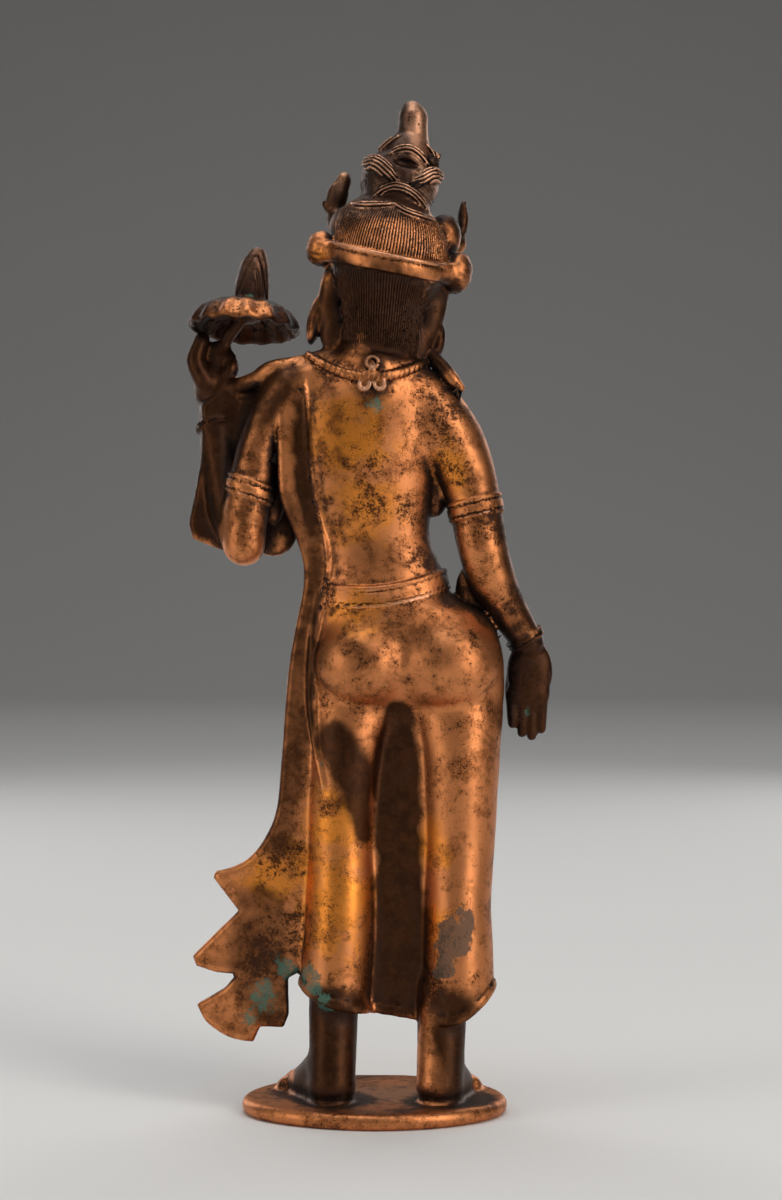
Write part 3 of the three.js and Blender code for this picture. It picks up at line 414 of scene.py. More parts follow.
# Skirt: a column of cloth over each leg, a sunken panel between them, and a dipping hem
left_leg = column([
    [12, 10.6, 4.6, 9, 9.6, 8.6], [24, 10.4, 4.4, 9, 9.8, 8.8], [38, 9.5, 3.6, 9, 10.2, 9.2],
    [50, 8.9, 2.6, 9, 10.4, 9.6], [63, 8.8, 1.4, 8.9, 9.8, 11], [76, 8.3, 0.8, 9.4, 10.4, 11.6],
    [89, 7.1, 0.4, 10.1, 10.9, 12], [100, 5.6, 0, 12.2, 10, 12.2], [110, 3.6, 0, 12.4, 8.4, 10.6],
    [117, 2, 0, 9, 7, 8]
])
right_leg = column([
    [12, -21.3, 4.6, 9, 9.8, 8.6], [24, -21.3, 4.4, 9, 10, 8.8], [38, -21.2, 3.6, 8.9, 10.4, 9.2],
    [50, -20.9, 2.6, 8.8, 10.6, 9.6], [63, -21.3, 1.4, 9.2, 10, 11], [76, -21.5, 0.8, 9.8, 10.8, 11.6],
    [89, -21.5, 0.4, 10.6, 11.3, 12], [100, -20.5, 0, 12.3, 10.4, 12.2], [110, -19.4, 0, 12, 8.6, 10.6],
    [117, -17.6, 0, 9, 7, 8]
])
PANEL_MIDDLE, PANEL_HALF_WIDTH, PANEL_BACK, PANEL_FRONT, PANEL_TOP = -5.8, 8, 5.6, 6.6, 104
central_pleat = limb([[-5.8, -8, 122, 2.4], [-6.2, -7.4, 90, 4], [-6.4, -6, 60, 4.4], [-6.6, -4, 31, 4.8]])
hem_at_back = profile([
    [-31, 28.5], [-27, 24.4], [-21.7, 20.8], [-15.9, 19.8], [-10, 20.4], [-4.5, 21.3], [4, 22.8],
    [11.3, 24.6], [17, 27], [22.5, 31]
])


def hem_height(x, y):
    return lerp(29 + 0.05 * x, hem_at_back(x)[0], smooth_step(y, -6, 6))


def skirt(x, y, z, fine):
    legs = np.minimum(left_leg(x, y, z), right_leg(x, y, z))
    across = np.abs(x - PANEL_MIDDLE) - PANEL_HALF_WIDTH
    panel = np.maximum(np.maximum(across, z - PANEL_TOP), np.maximum(y - PANEL_BACK, -y - PANEL_FRONT))
    cloth = join(join(legs, panel, 1.2), central_pleat(x, y, z), 1.5)
    if fine:
        cloth = cloth + skirt_pleats(x, y, z)
    above = (z - hem_height(x, y)) * 0.8
    border = within(cloth - HEM_RAISE / UNIT, np.abs(above - 1) - 1, 0.6)
    whole = np.minimum(within(cloth, -above, 0.6), border)
    if fine:
        cord = length(np.maximum(cloth, -0.2), above - 0.5) - 0.75
        whole = join(whole, cord, 0.2)
    return np.where(z > 122, z - 112, whole)


def skirt_pleats(x, y, z):
    """Shallow folds that fan out between the legs at the front."""
    share = np.clip((112 - z) / 80, 0, 1)
    fan = (x - PANEL_MIDDLE) / (3.2 + 3.4 * share)
    front = smooth_step(-y, 1, 5) * smooth_step(share, 0.05, 0.3) * smooth_step(-np.abs(fan), -2.2, -1.2)
    return 0.35 * front * comb(fan)


# Ankles, feet and toes. side is 1 for the left foot.
def foot(side, ankle, heel, sole):
    hx, hy = heel
    bx, by = sole
    forms = [
        limb([[*ankle, 6.4], [lerp(ankle[0], hx, 0.6), hy - 1.6, 13, 6], [hx, hy, 4.6, 5.9]]),
        limb([[hx, hy, 3.6, 5.4], [lerp(hx, bx, 0.55), lerp(hy, by, 0.55), 3.2, 4.9], [bx, by, 1.8, 3.3]]),
        limb([[lerp(hx, bx, 0.2), hy - 3, 9, 5], [lerp(hx, bx, 0.7), lerp(hy, by, 0.7), 2.6, 4.2]])
    ]
    outward = math.atan2(bx - hx, hy - by)
    for i in range(5):
        across = (i - 2) * 1.9 * side
        reach = 3.6 - 0.5 * i
        tx, ty = bx + across * math.cos(outward), by + across * math.sin(outward)
        radius = 1.3 if i else 1.7
        tip = [tx + reach * math.sin(outward), ty - reach * math.cos(outward), 0.9, radius]
        forms.append(limb([[tx, ty, 1.6, radius + 0.2], tip]))
    return all_of(forms, 1.4)


feet = all_of([
    foot(1, [10.6, 3.6, 31], [10.9, 9.8], [20.4, -7.4]), foot(-1, [-17.2, 4, 29], [-16.3, 9.8], [-22.2, -7.8])
])

# Arms, and the rings round them. A ring is the skin of the arm between two planes.
arm_webs = all_of([ball([-15.4, -1.4, 160], [4.4, 3.2, 11.5]), ball([-24.4, -1.2, 129], [3.8, 1.8, 7.4])])
right_arm = limb([
    [-5, 0.6, 186, 5.6], [-15.6, 0.6, 173.6, 8.6], [-19.8, 0.8, 167.4, 8.4], [-23.4, 1, 159.6, 7.4],
    [-25.5, 1.5, 151.5, 6.6], [-27.4, 2.6, 141, 6.5], [-29.9, 1.4, 132.6, 6.1], [-34.2, -0.8, 124.6, 4.9],
    [-39.4, -3, 116, 4.1]
])
left_upper_arm = limb([
    [8, 0.4, 186, 5.6], [21.4, 0, 180.4, 7.4], [28.6, 0.6, 170, 5.6], [31.2, 1.4, 160, 5.7],
    [33, 2.2, 150, 5.8], [33.6, 2.6, 141.2, 5.2]
])
left_forearm = limb([
    [33.8, 1.6, 141.6, 5.1], [37.6, -3.4, 151, 5.8], [40.2, -7.4, 163, 5.2], [42.4, -10.2, 175.5, 4]
])


def arm_ring(arm, centre, direction, height, raise_by, grooves):
    """A band round an arm. Its grooves are [place across the band, radius]."""
    nx, ny, nz = Vector(direction).normalized()

    def form(x, y, z, fine):
        along = (x - centre[0]) * nx + (y - centre[1]) * ny + (z - centre[2]) * nz
        skin = arm(x, y, z)
        band = within(skin - raise_by, np.abs(along) - height / 2, 0.7)
        if not fine:
            return band
        for place, radius in grooves:
            band = cut_away(band, length(skin - raise_by, along - place) - radius, 0.15)
        return band

    return form


ARMLET = (ARMLET_HEIGHT / UNIT, ARMLET_RAISE / UNIT, [[1.15, 0.42], [-1.5, 0.38]])
BRACELET = (2 * BRACELET_RADIUS / UNIT, BRACELET_RADIUS / UNIT, [[0, 0.4]])
ARM_RINGS = [
    (right_arm, [-25.6, 1.4, 150.8], [0.22, 0, 0.97], ARMLET),
    (left_upper_arm, [32.2, 1.6, 155.6], [-0.32, 0, 0.95], ARMLET),
    (right_arm, [-38.6, -2.6, 117.2], [-0.5, -0.22, -0.84], BRACELET),
    (left_forearm, [42, -9.6, 172.6], [0.2, -0.25, 0.95], BRACELET)
]
rings = [arm_ring(arm, centre, direction, *band) for arm, centre, direction, band in ARM_RINGS]


def right_hand():
    """Lowered, palm to the front."""
    palm = all_of([ball([-39.9, -3.6, 108.6], [5.9, 2.7, 8.6]), ball([-39.4, -3.4, 103], [5.5, 2.3, 4])], 1)
    fingers = []
    for i, tip in enumerate([92.4, 90.6, 91.4, 93.8]):
        x = -43.3 + 2.72 * i
        closing = (x + 39.3) * 0.1
        finger = [[x, -3.8, 103, 1.5], [x - closing, -4.6, 97, 1.5], [x - closing, -5, tip + 1.3, 1.3]]
        fingers.append(limb(finger))
    thumb = limb([[-36, -5.4, 109, 1.8], [-35.2, -7.2, 104, 1.6], [-35.4, -7.8, 99.5, 1.3]])
    return all_of([palm, all_of(fingers, 0.35), thumb], 1)


def left_hand():
    """Raised: three fingers up, the stalk between the first finger and the thumb."""
    forms = [
        ball([43, -11.6, 182.6], [4.6, 4.2, 6.8]), ball([41.6, -12, 190.6], [3.4, 2, 4.4]),
        limb([[40.6, -13.4, 184, 2], [38.4, -15.4, 188, 1.8], [39, -13.4, 191.4, 1.6]]),
        limb([[40, -9.4, 183, 2.2], [37.6, -9.6, 187.4, 1.9], [38.2, -11.6, 190.4, 1.7]])
    ]
    for i in range(3):
        y = -8.4 - 2.9 * i
        forms.append(
            limb([[44.6, y, 184, 2.6], [47, y - 0.4, 189.4, 2.5], [45.8, y - 1, 194.2 + 0.8 * i, 2]])
        )
    return all_of(forms, 1.4)


hands = all_of([right_hand(), left_hand()])

# Shawl: a band over the left shoulder and down the side, a free sheet that flares into
# three points beside the skirt, and an end that hangs over the left forearm
shawl_inner_edge = profile([
    [80, 13.2], [89, 15], [102, 16.5], [114, 16.1], [122, 15.2], [129, 13.9], [135, 12.8], [141, 13.3],
    [154, 16.2], [173, 17.7], [189, 19.2]
])
shawl_depth = profile([
    [10, 2.4], [60, 3], [120, 3.2], [134, 2.8], [142, 3.4], [154, 5.2], [172, 5.8], [182, 4.8], [189, 2]
])
shawl_outline = outline_of([
    [
        [18, 184], [24.6, 178], [24.9, 165], [24.2, 153], [20, 142.5], [18.2, 132], [21.4, 114.3],
        [22.8, 101.5], [24.4, 80], [25.5, 72.4], [27.8, 66.7], [31.4, 61.7], [35.7, 58.8], [40.9, 57.3]
    ],
    [[41.5, 55.9], [35, 47.4]], [[40, 42.4], [46.8, 35.6]], [[46, 33.2], [40.8, 31.6]],
    [[35.4, 31.2], [38.4, 27.6]], [[45.8, 23.2]], [[43.2, 18.6], [37.4, 15], [31.4, 13.9]],
    [[29.6, 17.8], [23.6, 17.8]], [[22.3, 21], [22.4, 30.4]], [[16, 34]],
    [[14, 56], [11, 80], [9, 120], [11, 150], [16, 178]]
])
forearm_end_outline = outline_of([
    [[45.4, 178], [44.8, 168.8], [46.6, 155.7], [48.4, 147]], [[47.2, 143], [41.4, 140.8]],
    [[35, 138.4], [31, 165]], [[26.6, 186.6], [29.1, 187.2]], [[32.6, 185], [36.5, 184.6]]
])


def sheet(outline, x, z, across, half, rim):
    """A flat sheet whose rim is a little thicker than its middle."""
    in_plane = outline(x, z)
    out, off = in_plane + half * 0.6, np.abs(across) - half * 0.4
    flat = np.minimum(np.maximum(out, off), 0) + length(np.maximum(out, 0), np.maximum(off, 0)) - half * 0.6
    return join(flat, length(in_plane + rim, across) - rim, 0.5)


def shawl(x, y, z, body):
    half = SHAWL_THICKNESS / UNIT / 2
    rim = SHAWL_RIM_RADIUS / UNIT
    inner = shawl_inner_edge(z)[0]
    tucked = 1.3 * np.maximum(inner - x, 0)
    away = y - shawl_depth(z)[0] - 0.12 * (24 - x) + tucked
    hanging = sheet(shawl_outline, x, z, away * np.where(tucked > 0, 0.62, 0.98), half, rim)
    over_arm = sheet(forearm_end_outline, x, z, (y + 4 + (z - 140) * 0.1) * 0.95, half * 1.3, rim)
    raised = half * 0.55 * (1 - 0.8 * smooth_step(z, 172, 186))
    band = np.maximum(np.maximum(body - raised, inner - x), np.maximum(126 - z, z - 189))
    return join(join(hanging, over_arm), band, 0.6)


shawl_folds = all_of([
    limb([
        [14.4, 4.9, 128, 0.9], [15.6, 5, 121, 1.1], [16.1, 5.7, 114, 1.1], [16.4, 5.7, 103, 1.1],
        [15.8, 6.6, 95, 1.1], [15, 7.4, 88.7, 1], [13.8, 9, 83.4, 0.9], [13.2, 9.8, 79.8, 0.5]
    ]),
    ball([26.4, -5, 146], [6.4, 2, 7.6]), ball([26.2, -1, 158], [3.4, 3, 12]),
    limb([
        [12, 1, 189.4, 2.6], [19, 1, 187.2, 2.8], [27, 0, 186, 2.6], [31, -3, 184, 2.2], [37, -8, 182.4, 2.2]
    ])
], 0.8)

# Belt, which dips a little to the left, and its clasp
clasp = ball([-3, -11.6, 127.6], [4, 1.8, 4])
clasp_rings = [ring([-3, -13, 127.6], 1.4, 0.35), ring([-3, -12.7, 127.6], 2.9, 0.4)]


def belt_height(x):
    return 127.7 + 0.0098 * (x - 4) ** 2


def belt(x, y, z, body, fine):
    half = BELT_HEIGHT / UNIT / 2
    raised = BELT_RAISE / UNIT
    signed = z - belt_height(x)
    off = np.abs(signed)
    strap = within(body - raised * 0.6, off - half, 0.6)
    rim = length(np.maximum(body - raised * 0.3, -0.2), off - half + 0.7) - 0.8
    if fine:
        strap = within(body - raised * 0.85, off - half + 0.2, 0.5)
        for place, radius in [[1.55, 0.42], [-1.6, 0.36], [-2.3, 0.3]]:
            strap = cut_away(strap, length(body - raised * 0.95, signed - place) - radius, 0.15)
        rim = length(np.maximum(body - raised * 0.6, -0.2), signed - half + 0.75) - 0.7
    inner = shawl_inner_edge(z)[0]
    under_shawl = np.minimum(y + 2, x - inner - 0.6)
    buckle = clasp(x, y, z)
    if fine:
        buckle = join(buckle, all_of(clasp_rings)(x, y, z), 0.3)
    return join(cut_away(join(strap, rim, 0.2), -under_shawl), buckle, 0.6)


def necklace(x, y, z, skin, fine):
    share = np.clip((y + 4) / 8, 0, 1)
    lowest = lerp(NECKLACE_FRONT, NECKLACE_BACK, share)
    rise = (NECKLACE_ENDS - lowest) / NECKLACE_REACH**2 * (x - NECK_MIDDLE) ** 2
    off = (z - lowest - rise) * 0.8
    radius = NECKLACE_RADIUS / UNIT
    if fine:
        radius = radius * (1 - 0.2 * comb(x / ROPE_PITCH + 0.3 * off))
    return length(np.maximum(skin - 0.4, -0.2), off) - radius


def necklace_trim(fine):
    """The knot at the nape with its two loops, a pendant in front, and a shoulder ribbon."""
    ribbon = limb([
        [-14, 0.4, 190, 2], [-17.4, 2.6, 186.4, 2], [-19.6, 3.8, 183.4, 2], [-21.9, 4.6, 181.2, 1.1]
    ])
    if not fine:
        blobs = [
            ball([0.9, 9.6, 184.6], [2.4, 1.8, 1.4]), ball([0.9, 8.8, 187], [2, 1.5, 1.8]),
            ball([2.6, 10.6, 181.4], [1.5, 1.4, 2]), ball([-1, 10.8, 181.2], [1.8, 1.5, 2]),
            ball([0.9, -12.4, 167.6], [3, 1.8, 3.6])
        ]
        return all_of([*blobs, ribbon], 0.5)
    forms = [
        ring([0.7, 11.1, 187.2], 1.5, 0.6, 0.2), ring([0.7, 11, 186.9], 0.5, 0.4, 0.2),
        ball([0.9, 9.4, 187], [1.9, 1.6, 1.8]), ball([1, 10.8, 184.7], [2.4, 1.3, 0.75]),
        ball([1, 11, 183.8], [1.6, 1.2, 0.6]), ball([0.9, -12.4, 167.6], [3, 1.8, 3.6]),
        ring([0.9, -14, 167.4], 1.2, 0.35, -0.1), ribbon
    ]
    for x, lean in [[2.7, 0.3], [-1.1, -0.3]]:
        forms.append(ring([x, 12.1, 181.6], 1.35, 0.5, 0.2))
        forms.append(ball([x, 11.2, 181.6], [1.5, 1.1, 1.7]))
        forms.append(limb([[x + lean, 10.9, 183.4, 0.6], [x - lean, 12, 181.2, 0.5]]))
    for i in range(7):
        angle = math.radians(200 + 23.3 * i)
        bead = [0.9 + 8.6 * math.cos(angle), -11.4 - 0.8 * abs(math.sin(angle)), 174 + 5.6 * math.sin(angle)]
        forms.append(ball(bead, 1))
    return all_of(forms, 0.3)


plain_trim, fine_trim = necklace_trim(False), necklace_trim(True)

# Head, in a frame of its own that leans to the figure's right and looks a little down
HEAD_PLACE = (-3.6, 0, 214)
HEAD_TURN = turned(4, -11)
skull = ball([0, 1, 0], [15, 15.5, 15.5])
BACK_HAIR = [
    [-25, -2.2, 2.5, 8.4, 7, 5], [-22, -1.8, 3, 9.4, 8.6, 6], [-12, -0.3, 3, 10.6, 10.6, 6],
    [-2, 0.8, 3, 12, 12, 6], [4, 0.8, 3, 12, 11, 6]
]
back_hair = column(BACK_HAIR)
back_hair_section = profile(BACK_HAIR)
mound = column([
    [-3, 0, 1, 15, 15.4, 12], [2, 0, 1, 15.2, 15.5, 14], [7.4, 0.8, 1, 14.6, 13.6, 13.6],
    [10.6, 1.6, 1, 13.4, 10.6, 12.6], [12.8, 1.8, 1, 11.4, 9.8, 11], [14.6, 1.6, 1, 9.4, 8.8, 9.4],
    [17, 1.4, 1, 8.4, 8.4, 8]
])
bun = ball([1.4, 0.6, 20.6], [10.2, 10, 9])
knob = all_of([
    limb([[1, 1, 25.4, 7], [0.8, 1, 28.6, 5.6], [0.3, 0.9, 31.4, 4.4], [0.7, 0.6, 34.4, 3.6]]),
    limb([[0.8, 0.6, 34.8, 3.7], [1.2, 0.5, 37.8, 3.9], [1.8, 0.5, 39.6, 2.8]])
], 1.2)
knot_hollow = ball([0.1, 10.2, 24.2], [3.8, 3.2, 1.5])

# Locks that wind over the back of the topknot: [x, z] on its surface, and their half width
LOCKS = [
    ([[9.6, 22.6], [7.5, 22.2], [4.3, 20.3], [1.7, 18.6]], [2.1, 2.4, 1.8, 0.5]),
    ([[-7.6, 22.9], [-6.4, 22.4], [-4.7, 20.8], [-2.3, 19.4]], [2.2, 2.3, 1.7, 0.5]),
    ([[5.2, 25.6], [3.2, 27.3], [0.2, 28.1], [-2.5, 27.3], [-5.2, 25.3]], [0.5, 1.1, 1.2, 1.1, 0.6]),
    (
        [[6.9, 14.1], [4.8, 16.1], [1.9, 17.2], [-1.8, 16.9], [-5.2, 15.5], [-7.4, 13.7]],
        [0.5, 1, 1.3, 1.3, 1.1, 0.5]
    ),
    ([[12.2, 11.7], [9.4, 11], [5.9, 11.5], [1.3, 12.8]], [0.5, 1.1, 1, 0.5]),
    ([[0.4, 12.3], [-2.4, 11.2], [-5.6, 10.9], [-9.5, 11.6]], [0.5, 1.1, 1.2, 0.6]),
    ([[7.6, 27.2], [6.2, 29.2], [4, 31.4]], [0.9, 1, 0.7]),
    ([[-4, 31], [-5.6, 29.4], [-6.8, 27.2]], [0.5, 0.8, 0.6])
]
LOCK_LIFT = 0.5


def under_locks(x, y, z):
    return join(join(mound(x, y, z), bun(x, y, z), 1.5), knob(x, y, z), 0.5)


def back_of(form, x, z):
    """Where lines that come from behind meet the form."""
    x, z = np.array(x, float), np.array(z, float)
    y = np.full(x.shape, 22.0)
    for _ in range(60):
        y -= 0.7 * form(x, y, z)
    return np.maximum(y, 3)


def lock_line(path, half):
    x, z = np.array(path, float).T
    y = back_of(under_locks, x, z) + LOCK_LIFT * np.array(half)
    return rod([list(station) for station in zip(x, y, z, half)])


lock_lines = [lock_line(*spec) for spec in LOCKS]


def locks(x, y, z):
    """Distance to the nearest lock, and its strands' phase."""
    nearest = np.full(x.shape, 1e3)
    phase = np.zeros(x.shape)
    for line in lock_lines:
        centre, radius = holding_ball(line)
        far = length(x - centre[0], y - centre[1], z - centre[2]) - radius
        near = np.flatnonzero(far < BOUND_MARGIN)
        if near.size:
            away, offset = nearest_on(line, x[near], y[near], z[near])
            closer = away < nearest[near]
            phase[near[closer]] = offset[1][closer] / STRAND_WIDTH / LOCK_STRAND + 0.5
            far[near] = away
        nearest = join(nearest, far, 0.5)
    return nearest, phase


def combed_hair(x, y, z):
    """Distance to the combed parts of the head, the phase of their strands and the share of
    the groove depth that they have there."""
    cx, cy = back_hair_section(z)[:2]
    back = back_hair(x, y, z)
    back_phase = np.arctan2(x - cx, y - cy + 5) * BACK_STRANDS
    off_band = z + HEADBAND_SLOPE * y
    back_depth = smooth_step(y, -1, 2) * smooth_step(-off_band, 2.4, 2.9) * smooth_step(z, -24.2, -22.8)
    crown = mound(x, y, z)
    round_crown = length(x - 1, y - 1)
    crown_phase = np.arctan2(x - 1, y - 1) * CROWN_STRANDS
    crown_depth = smooth_step(off_band, 2.5, 3.1) * smooth_step(round_crown, 9.5, 12) * smooth_step(y, -9, -6)
    tail = bun(x, y, z)
    tail_phase = (z + 0.4 * np.abs(x - 1.4)) / STRAND_WIDTH / BUN_STRAND
    wound, wound_phase = locks(x, y, z)
    distance = np.stack([back, crown, tail, wound])
    phases = np.stack([back_phase, crown_phase, tail_phase, wound_phase])
    even = [np.full(x.shape, depth) for depth in (BUN_GROOVES, LOCK_GROOVES)]
    depths = np.stack([back_depth, crown_depth, *even])
    first = np.argmin(distance, axis=0)[None]
    return tuple(np.take_along_axis(v, first, axis=0)[0] for v in (distance, phases, depths))


face = all_of([
    ball([0, -4.6, -7.6], [11.4, 10.6, 14]), ball([0, -11.4, -18.8], [4.4, 3.6, 3.2]),
    limb([[0, -14.8, -2.2, 1.2], [0, -16.6, -7.6, 1.4], [0, -17.4, -10.6, 1.7]]),
    ball([1.7, -15.6, -11.2], 1.3), ball([-1.7, -15.6, -11.2], 1.3),
    limb([[1.6, -14.8, -1.8, 0.7], [5.4, -14.2, -0.2, 0.8], [9.6, -10.8, -1.6, 0.6]]),
    limb([[-1.6, -14.8, -1.8, 0.7], [-5.4, -14.2, -0.2, 0.8], [-9.6, -10.8, -1.6, 0.6]]),
    ball([4.9, -12.6, -4.4], [3, 2.3, 1.8]), ball([-4.9, -12.6, -4.4], [3, 2.3, 1.8]),
    limb([[-3.3, -13.7, -15, 0.6], [0, -15, -14.4, 1], [3.3, -13.7, -15, 0.6]]),
    limb([[-2.6, -13.8, -15.8, 0.6], [0, -14.6, -16.4, 1.1], [2.6, -13.8, -15.8, 0.6]])
], 0.9)
eye_lines = all_of([
    limb([
        [side * 2.4, -14.6, -4.9, 0.25], [side * 5, -14.9, -5.5, 0.32], [side * 7.8, -12.6, -5, 0.25]
    ]) for side in (-1, 1)
])

# Rosettes over the ears, long ear rings, and the leaves of the crown
head_trim = all_of([
    ball([12.6, -1, -10], [3.8, 3.4, 12]), ball([-12.6, -1, -9], [4.2, 3.4, 12]),
    ball([10.4, -0.4, -19], [4, 3, 7]), ball([-10.6, -0.4, -19], [4, 3, 7]),
    ball([16, -2.4, -18.2], [2, 3.8, 6.4]), ball([15.4, -8, 9.8], [3, 2.6, 3]),
    limb([[15.4, -7.6, 8, 2.4], [16.8, -8.2, 12.6, 1.7], [16.8, -8.4, 16, 1.7]]),
    ball([18.6, -8.4, 13.4], [1.4, 1.3, 2]), ball([16.9, -8.6, 16.4], [2.9, 1.8, 4.4]),
    ball([16, -8.6, 20.3], [2.1, 1.7, 2.8]), ball([12.6, -3.6, 7.6], [4.6, 5, 5.6]),
    ball([-15.6, -8, 9.8], [3, 2.6, 3]), ball([-16.7, -8.6, 14.6], [1.4, 1.6, 4.6]),
    ball([-15.9, -8.6, 18.6], [1.1, 1.4, 3.4]), ball([-12.2, -3.6, 9.4], [4.8, 5, 6.4]),
    ball([0, -13.4, 16], [4.4, 1.9, 9.6]),
    limb([
        [14.6, -7, 7.6, 1.7], [8.6, -12.4, 8, 2], [0, -14.8, 8.6, 2.4], [-8.6, -12.4, 8, 2],
        [-14.6, -7, 7.6, 1.7]
    ])
], 0.8)
rosettes = all_of([
    limb([[12.4, 7, -1.8, 2.2], [17.6, 2.4, -0.6, 3]]), limb([[-12.2, 7, -1.8, 2.2], [-17, 2.4, -0.4, 3.2]]),
    ball([18, 0.6, -0.1], [3.8, 5.4, 4.6]), ball([-17.8, 0.8, 0.4], [3.8, 5.2, 5.5])
], 0.8)
right_ear_ring = ball([-14.2, -1.6, -17.6], [3.9, 2.4, 6.2])
ear_ring_hollow = ball([-14, 1.3, -17.8], [2.6, 2, 4.7])
crown_jewels = all_of([
    ring([0, -15.6, 12.4], 2, 0.5), ball([0, -15.8, 12.4], 1.2), ring([0, -15, 18], 1.3, 0.4),
    ball([0, -15, 18], 0.7), ball([0, -14.6, 22], 0.8), ring([16.4, -10.2, 13.6], 1.3, 0.4),
    ball([16.4, -10.2, 17.6], 0.8), ring([17.2, -7.2, 18.4], 1.3, 0.5), ring([18.6, -7.6, 13.4], 1.3, 0.5),
    ball([16.2, -7.2, 21.4], 0.9), ball([-16.6, -7.4, 15], [0.7, 0.8, 1.1]), ball([-16.4, -10.2, 13.6], 0.8),
    ball([-16.4, -10.2, 17.4], 0.7), ball([0, -16.4, 0.6], 0.6),
    *(ball([7.6 * side, -14.4, 8.2], 1) for side in (-1, 1)),
    *(ball([11.6 * side, -11.8, 8], 0.9) for side in (-1, 1)),
    *(ball([4 * side, -16.2, 8.4], 0.9) for side in (-1, 1))
], 0.2)


def head_form(x, y, z, fine):
    half = HEADBAND_HEIGHT / UNIT / 2
    raised = HEADBAND_RAISE / UNIT
    hair = join(skull(x, y, z), back_hair(x, y, z), 1.5)
    off = z + HEADBAND_SLOPE * y
    band = within(hair - raised, np.abs(off) - half, 0.7)
    if fine:
        _, phase, share = combed_hair(x, y, z)
        wander = 0.12 * noise(x, y, z, 6)
        groove = STRAND_DEPTH / UNIT * share * comb(phase + wander)
        band = within(hair - raised * 0.9, np.abs(off) - half, 0.7)
        rim = length(np.maximum(hair - raised * 0.75, -0.2), off - half + 0.45) - 0.5
        band = join(cut_away(band, length(hair - raised * 0.95, off - half + 1.35) - 0.42, 0.2), rim, 0.15)
    else:
        groove = 0
    looks = face(x, y, z)
    if fine:
        looks = cut_away(looks, eye_lines(x, y, z), 0.25)
    crown = join(join(hair + groove, looks, 2), mound(x, y, z) + groove, 1)
    whole = join(join(crown, np.maximum(band, -2 - y), 0.3), bun(x, y, z) + groove, 1.5)
    top = join(locks(x, y, z)[0] + groove, knob(x, y, z), 0.5)
    discs = rosettes(x, y, z)
    drop = right_ear_ring(x, y, z)
    leaves = head_trim(x, y, z)
    if fine:
        discs = discs + 0.22 * comb(
            np.arctan2(z + 1, y - 0.6) * ROSETTE_FLUTES / (2 * math.pi)
        ) * smooth_step(np.abs(x), 16.5, 18.5)
        drop = cut_away(drop, ear_ring_hollow(x, y, z), 0.4)
        leaves = join(leaves, crown_jewels(x, y, z), 0.25)
    trim = join(join(leaves, discs, 0.8), drop, 0.6)
    whole = join(join(whole, top, 0.6), trim, 0.8)
    return cut_away(whole, knot_hollow(x, y, z), 0.6)


head_back = np.array(HEAD_TURN.inverted())


def head(fine):
    def form(x, y, z):
        return head_form(*to_frame(x, y, z, HEAD_PLACE, head_back), fine)

    return bounded([-5, 0, 222], 42, form)


neck = limb([[1, 1, 182, 10], [0.2, 1, 193, 8.8], [-1.8, 0.6, 204, 8.6]])

# Lotus on its stalk: a drooping cap with a waved edge, and a bud on top
LOTUS_PLACE = (34.35, -12, 199.1)
LOTUS_TURN = turned(9, -3.5)
CAP_SECTION = [[0, 6.9], [0.4, 6.4], [0.66, 5.4], [0.85, 3.7], [0.95, 1.8], [1, 0.3]]


def lotus_form(x, y, z):
    radius = LOTUS_WIDTH / UNIT / 2
    half = LOTUS_WALL / UNIT / 2
    r = length(x, y)
    angle = np.arctan2(y, x)
    wave = np.cos(LOTUS_PETALS * angle) * np.minimum(r / radius, 1) ** 3
    out, up = r - 0.45 * wave, z - 0.35 * wave
    nearest = np.full(x.shape, 1e3)
    for (a, b), (c, d) in zip(CAP_SECTION[:-1], CAP_SECTION[1:]):
        ar, az, br, bz = a * radius - half, b - half, c * radius - half, d - half
        ur, uz = br - ar, bz - az
        t = np.clip(((out - ar) * ur + (up - az) * uz) / (ur * ur + uz * uz), 0, 1)
        nearest = np.minimum(nearest, length(out - ar - t * ur, up - az - t * uz))
    under = length(np.maximum(r - 3.4, 0), np.maximum(np.abs(z - 3.6) - 1.4, 0)) - 0.8
    return join(nearest - half, under, 1.2)


BUD = [[32.8, -12, 204, 4.6], [32.4, -12, 209.5, 4.6], [31.8, -12, 214, 3.9], [31.1, -12, 217, 2.6]]
plain_bud = limb(BUD)


def bud(x, y, z, fine):
    """Closed petals: each ring of them is an arch that narrows to the tip."""
    skin = plain_bud(x, y, z)
    if not fine:
        return skin
    cx = np.interp(z, [204, 217], [32.8, 31.1])
    across = np.abs(x - cx)
    for reach, top in [[4.6, 217], [2.9, 213.6], [1.5, 210.4]]:
        inside = np.sqrt(np.clip((top - z) / (top - 201), 0, 1)) * reach - across
        skin = skin + 0.4 * np.exp(-((inside / 0.36) ** 2)) * (z < top)
    return skin


stalk = limb([
    [37, -13.6, 152, STALK_RADIUS / UNIT * 0.8], [40, -15, 172, STALK_RADIUS / UNIT],
    [39, -13.4, 188, STALK_RADIUS / UNIT], [39.6, -12.4, 194, STALK_RADIUS / UNIT],
    [35.6, -12, 200.6, STALK_RADIUS / UNIT * 1.2]
])
lotus_back = np.array(LOTUS_TURN.inverted())
lotus_cap = bounded(
    LOTUS_PLACE, LOTUS_WIDTH / UNIT / 2 + 6, lambda x, y,
    z: lotus_form(*to_frame(x, y, z, LOTUS_PLACE, lotus_back))
)


heads = {fine: head(fine) for fine in (False, True)}


